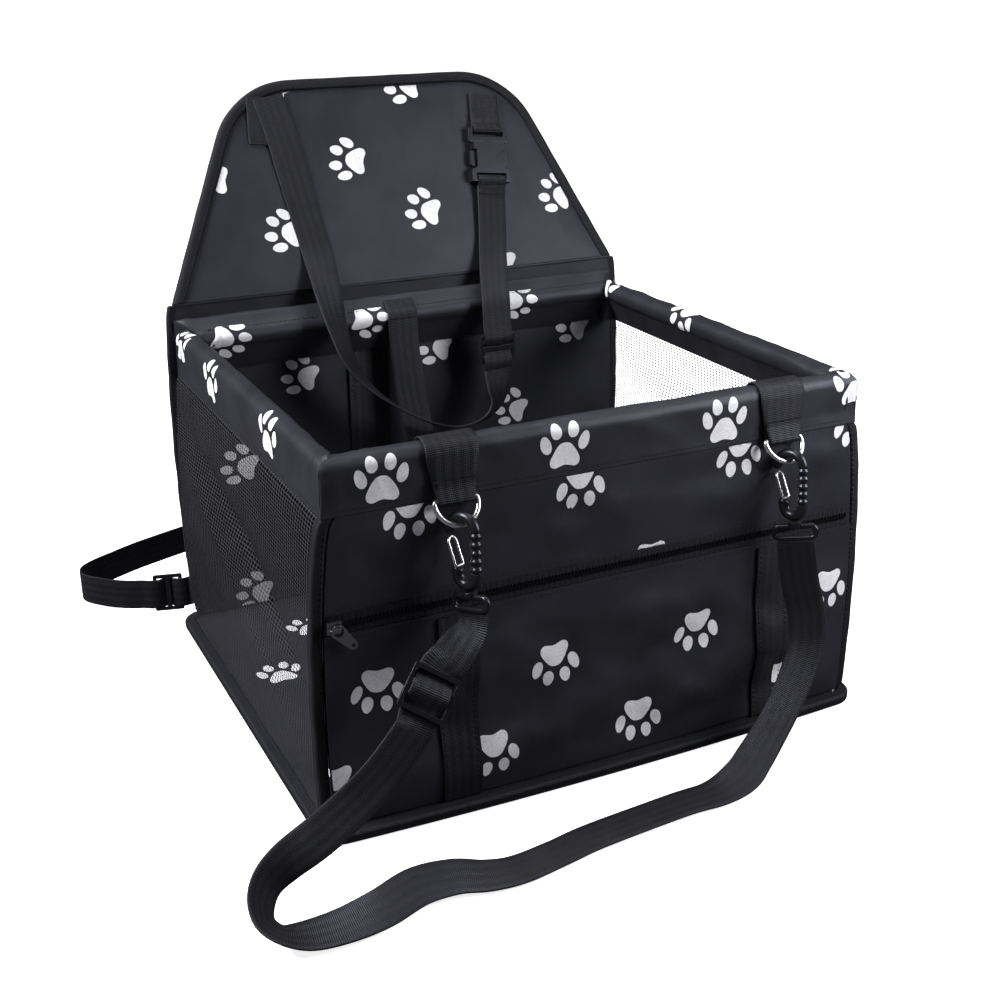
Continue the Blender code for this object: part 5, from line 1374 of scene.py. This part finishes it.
hook = dict(arc=0.0095, footArc=0.0070, tall=0.0369, foot=0.0117, section=0.0032, footSection=0.0036, ribs=5,
            rise=0.0006, nose=187.0, heel=33.0, tilt=13.0, leftYaw=-62.0, rightYaw=-68.0, leftEye=-68.0,
            rightEye=-45.0, eyeHalf=0.0137, eyeDrop=0.008, eyeCorner=0.0036, eyeWire=0.0019, collar=0.0046,
            collarHigh=0.0022, collarFoot=0.0040, collarTop=0.0042, collarEdge=0.0004, gateWire=0.0009,
            gateHalf=0.0036, gateCorner=0.0014, leashTurn=197.0, leashSpot=(0.0445, -0.0010, 0.0118))
footEnd = arc((0, hook["foot"]), hook["footArc"], 0, -180 - hook["heel"], 36)


def hookPath():
    path = arc((0, hook["tall"]), hook["arc"], hook["nose"], 0, 36)
    radii = [hook["section"] * (0.45 + 0.55 * min(k / 3, 1)) for k in range(len(path))]
    spine = hook["ribs"] * 10
    for i in range(1, spine):
        share = i / spine
        path.append(mix((hook["arc"], hook["tall"]), (hook["footArc"], hook["foot"]), share))
        rib = math.sin(share * hook["ribs"] * 2 * math.pi - math.pi / 2) * 0.9
        radii.append(hook["section"] + hook["rise"] * rib)
    radii += [hook["footSection"]] * (len(footEnd) - 1) + [hook["footSection"] * 0.86]
    return path + footEnd, radii


def gatePoints():
    turn = math.radians(-180 - hook["heel"])
    seat = box["gap"] + hook["gateWire"]
    low = footEnd[-1][0] + seat * math.sin(turn), footEnd[-1][1] - seat * math.cos(turn)
    u, v = turned(hook["arc"], 0, math.radians(hook["nose"]))
    tip = hook["section"] * abs(math.cos(math.radians(hook["nose"]))) * 0.15
    return low, (u, hook["tall"] + v - tip - 2 * box["gap"] - hook["gateWire"])


def makeGate(name, place, node, body):
    low, high = gatePoints()
    along = Vector((high[0] - low[0], high[1] - low[1]))
    length = along.length
    along = along.normalized()
    half, corner = hook["gateHalf"], hook["gateCorner"]
    path = arc((0, length - half), half, 180, 0, 20)
    path += arc((half - corner, corner), corner, 0, -90, 6)
    path += arc((corner - half, corner), corner, -90, -180, 6)

    def stand(u, v, w):
        return place(low[0] + along.x * v + along.y * w, low[1] + along.y * v - along.x * w, u)

    attach(sweep(name, path, hook["gateWire"], stand, nickel, sides=14, closed=True), body, node)


def makeEye(name, place, drop):
    # the flat eye that the webbing is sewn to, its upper edge at a drop below the frame's zero
    outline = [(u, v - drop - hook["eyeDrop"] / 2)
               for u, v in roundedBox(hook["eyeHalf"], hook["eyeDrop"] / 2, hook["eyeCorner"], 8)]
    return sweep(name, outline, hook["eyeWire"], place, plastic, sides=18, closed=True)


def makeHook(side):
    tilt = math.radians(ring[side + "Tilt"])
    ringLow = ring["leg"] + ring["arc"]
    wire = Vector((ring[side + "X"], -ring["y"] - ringLow * math.sin(tilt),
                   ring["z"] - ringLow * math.cos(tilt)))
    hang = hook["tall"] + hook["arc"] - hook["section"] - ring["wire"] - 2 * box["gap"]
    lean = Matrix.Rotation(math.radians(-hook["tilt"]), 3, "X")
    foot = wire - lean @ Vector((0, 0, hang))
    turn = lean @ Matrix.Rotation(math.radians(hook[side + "Yaw"]), 3, "Z")
    swing = lean @ Matrix.Rotation(math.radians(hook[side + "Eye"]), 3, "Z")
    top = hook["foot"] - hook["footArc"] - hook["footSection"] - box["gap"]

    def place(u, v, w):
        return foot + turn @ Vector((u, w, v))

    def seat(u, v, w):
        return foot + swing @ Vector((u, w, top + v))

    body = sweep(side + "Hook", *hookPath(), place, plastic, sides=24, angle=50)
    attach(body, side + "_snap", side + "_hook")
    makeGate(side + "Gate", place, side + "_hook_gate", side + "_gate")
    bar = hook["collarHigh"] + hook["eyeWire"] / 2
    eye = makeEye(side + "Eye", seat, bar)
    rings = []
    for v, radius in ((-bar - hook["eyeWire"] / 2, hook["collarFoot"]), (-bar, hook["collar"]),
                      (-hook["collarEdge"], hook["collar"]), (0, hook["collarTop"])):
        rings.append([seat(u, v, w) for u, w in arc((0, 0), radius, 0, 345, 23)])
    joinTo(eye, loft(side + "Collar", rings, plastic, angle=40))
    attach(eye, side + "_ring", side + "_hook_eye")


def makeLeashHook():
    turn = Matrix.Rotation(math.radians(hook["leashTurn"]), 3, "Z")
    spot = Vector(hook["leashSpot"])

    def place(u, v, w):
        return spot + turn @ Vector((u, v, w))

    body = sweep("leashHook", *hookPath(), place, plastic, sides=24, angle=50)
    neck = hook["foot"] - hook["footArc"] - hook["footSection"]
    joinTo(body, makeEye("leashEye", place, -neck - hook["eyeWire"] / 2))
    attach(body, "box", "leash_hook")
    makeGate("leashGate", place, "leash_hook_gate", "leash_gate")


for side in ("left", "right"):
    makeRing(side)
    makeHook(side)
makeLeashHook()
print("hooks made")


# Hard pieces that keep their own mesh
def dressNode(name, material, width):
    item = dress(name, material)
    weld = item.modifiers.new("Weld", "WELD")
    weld.merge_threshold = 0.00005
    bevel = item.modifiers.new("Bevel", "BEVEL")
    bevel.width = width
    bevel.segments = 3
    bevel.limit_method = "ANGLE"
    bevel.angle_limit = math.radians(35)
    bevel.use_clamp_overlap = True
    bevel.harden_normals = False


for name, material, width in (
    ("buckle_female", dullPlastic, 0.0010), ("buckle_male", dullPlastic, 0.0007),
    ("buckle_prong_left", dullPlastic, 0.0004), ("buckle_prong_right", dullPlastic, 0.0004),
    ("lead_slider", plastic, 0.0007), ("headrest_slider", plastic, 0.0007), ("waist_slider", plastic, 0.0007),
    ("zip_slider", darkMetal, 0.0003), ("zip_pull", darkMetal, 0.0002),
):
    dressNode(name, material, width)
print("hard pieces dressed")


# Sewing
def frontLine(z, ahead, half=0.185, count=60):
    place = frontPoint(ahead)
    return [(place(half * (2 * k / count - 1), z), Vector((0, -1, 0))) for k in range(count + 1)]


def surfaceLine(place, start, end, count, lift=0.0):
    # a line over a surface with the surface's own outward directions
    points = []
    for k in range(count + 1):
        a, b = mix(start, end, k / count)
        spot = place(a, b, lift)
        points.append((spot, (place(a, b, 0.001) - spot).normalized()))
    return points


sewn = dict(frontZ=0.1545, pocketZ=0.1352, stripOffset=0.0105, stripLow=0.009, stripStep=0.0025,
            baseZ=0.0079, baseInset=0.0068, wallLow=0.009)
seams = [frontLine(sewn["frontZ"], 0.0), frontLine(sewn["pocketZ"], wall["pocketAhead"])]
for side, b, half, inner in (("Front", 0.0030, 0.186, False), ("Back", 0.0030, 0.186, False),
                             ("Left", 0.0030, 0.160, False), ("Right", 0.0030, 0.160, False),
                             ("Back", 0.0025, 0.180, True), ("Back", 0.0400, 0.180, True)):
    seams.append(surfaceLine(sleeveFace(side, inner), (-half, b), (half, b), 60, 0.0001))
for middle in (wall["leftStrip"], wall["rightStrip"]):
    for offset in (-sewn["stripOffset"], sewn["stripOffset"]):
        seams.append([(stripPlace(middle + offset, sewn["stripLow"] + sewn["stripStep"] * k),
                       Vector((0, -1, 0))) for k in range(51)])
edgeLine = [(Vector((u, v, sewn["baseZ"])), Vector((0, 0, 1))) for u, v in baseOutline(sewn["baseInset"])]
seams.append(edgeLine + edgeLine[:1])
for sign in (-1, 1):
    for back, y, inset, high in ((False, -box["faceY"], 0.0020, 0.210),
                                 (True, box["backY"] + 0.0003, 0.0025, 0.262)):
        heights = [sewn["wallLow"] + (high - sewn["wallLow"]) * k / 40 for k in range(41)]
        seams.append([(Vector((sign * (cornerX(z, back) - inset), y, z)), Vector((0, -1, 0)))
                      for z in heights])
attach(addStitches("boxStitching", seams), "box")

flapSeams = []
for sign in (1, -1):
    line = []
    for i, (u, v, _) in enumerate(flapStations):
        before, after = flapStations[max(i - 1, 0)], flapStations[min(i + 1, len(flapStations) - 1)]
        along = Vector((after[0] - before[0], after[1] - before[1])).normalized() * flap["sewnIn"]
        line.append((flapPoint(u - along.y, v + along.x, sign * flap["sewnW"]),
                     flapTurn @ Vector((0, -sign, 0))))
    flapSeams.append(line)


def crossBox(place, half, low, high):
    # a sewn rectangle with an X in it
    corners = [(-half, low), (half, low), (half, high), (-half, high)]
    return [surfaceLine(place, corners[a], corners[b], 6)
            for a, b in ((0, 1), (1, 2), (2, 3), (3, 0), (0, 2), (1, 3))]


flapSeams += crossBox(lambda u, v, lift: bucklePoint(u, v, buckle["tabW"] + buckle["tabSewn"] + lift),
                      0.0100, 0.050, 0.070)
attach(addStitches("flapStitching", flapSeams), "flap")
print("sewing made")


# Floor, backdrop and light
def chooseShader(tree, lit, seen, output):
    # the view gets the seen shader, also through the net, and the light gets the lit one
    rays = addNode(tree, "ShaderNodeLightPath")
    choose = addNode(tree, "ShaderNodeMixShader")
    view = mathStep(tree, "MAXIMUM", rays.outputs["Is Camera Ray"], rays.outputs["Is Transmission Ray"])
    for socket, source in enumerate((view, lit, seen)):
        tree.links.new(source, choose.inputs[socket])
    tree.links.new(choose.outputs[0], output)


def makeGround():
    deselectAll()
    bpy.ops.mesh.primitive_plane_add(size=14, location=(0, 0, -0.0006))
    ground = bpy.context.object
    ground.name = "ground"
    material, tree, shader = startMaterial("groundWhite", (0.86, 0.86, 0.86), 0.9)
    glow = addNode(tree, "ShaderNodeEmission", {"Color": (1, 1, 1, 1)})
    away = addNode(tree, "ShaderNodeVectorMath", operation="LENGTH")
    tree.links.new(addNode(tree, "ShaderNodeTexCoord").outputs["Object"], away.inputs[0])
    spread = addNode(tree, "ShaderNodeMapRange",
                     {"From Min": 0.35, "From Max": 0.9, "To Min": 0.84, "To Max": 1.1})
    tree.links.new(away.outputs["Value"], spread.inputs[0])
    tree.links.new(spread.outputs[0], glow.inputs["Strength"])
    add = addNode(tree, "ShaderNodeAddShader")
    tree.links.new(shader.outputs[0], add.inputs[0])
    tree.links.new(glow.outputs[0], add.inputs[1])
    dim = addNode(tree, "ShaderNodeBsdfDiffuse", {"Color": (0.09, 0.09, 0.10, 1)})
    chooseShader(tree, dim.outputs[0], add.outputs[0], tree.nodes["Material Output"].inputs[0])
    ground.data.materials.append(material)


def makeWorld():
    world = scene.world or bpy.data.worlds.new("surround")
    scene.world = world
    world.use_nodes = True
    tree = world.node_tree
    dim = tree.nodes["Background"]
    dim.inputs[0].default_value = (0.95, 0.97, 1.0, 1)
    dim.inputs[1].default_value = 0.055
    white = addNode(tree, "ShaderNodeBackground", {"Color": (1, 1, 1, 1), "Strength": 1.05})
    chooseShader(tree, dim.outputs[0], white.outputs[0], tree.nodes["World Output"].inputs[0])


makeGround()
makeWorld()
for name, spot, target, size, power in (
    ("keyLight", (0.44, -0.44, 0.46), (0.10, -0.05, 0.20), 0.30, 4.4),
    ("sideLight", (-1.3, 0.15, 1.5), (-0.15, 0, 0.2), 0.7, 72.0),
    ("topLight", (0.5, 0.25, 2.2), (0, 0, 0.2), 0.9, 14.0),
):
    deselectAll()
    bpy.ops.object.light_add(type="AREA", location=spot)
    lamp = bpy.context.object
    lamp.name = name
    lamp.data.size = size
    lamp.data.energy = power
    lamp.rotation_euler = (Vector(target) - Vector(spot)).to_track_quat("-Z", "Y").to_euler()

scene.render.engine = "CYCLES"
scene.view_settings.view_transform = "Standard"
scene.render.resolution_x = 1000
scene.render.resolution_y = 1000
scene.cycles.samples = 96
deselectAll()
print("stage and lights set")

print("scene ready")
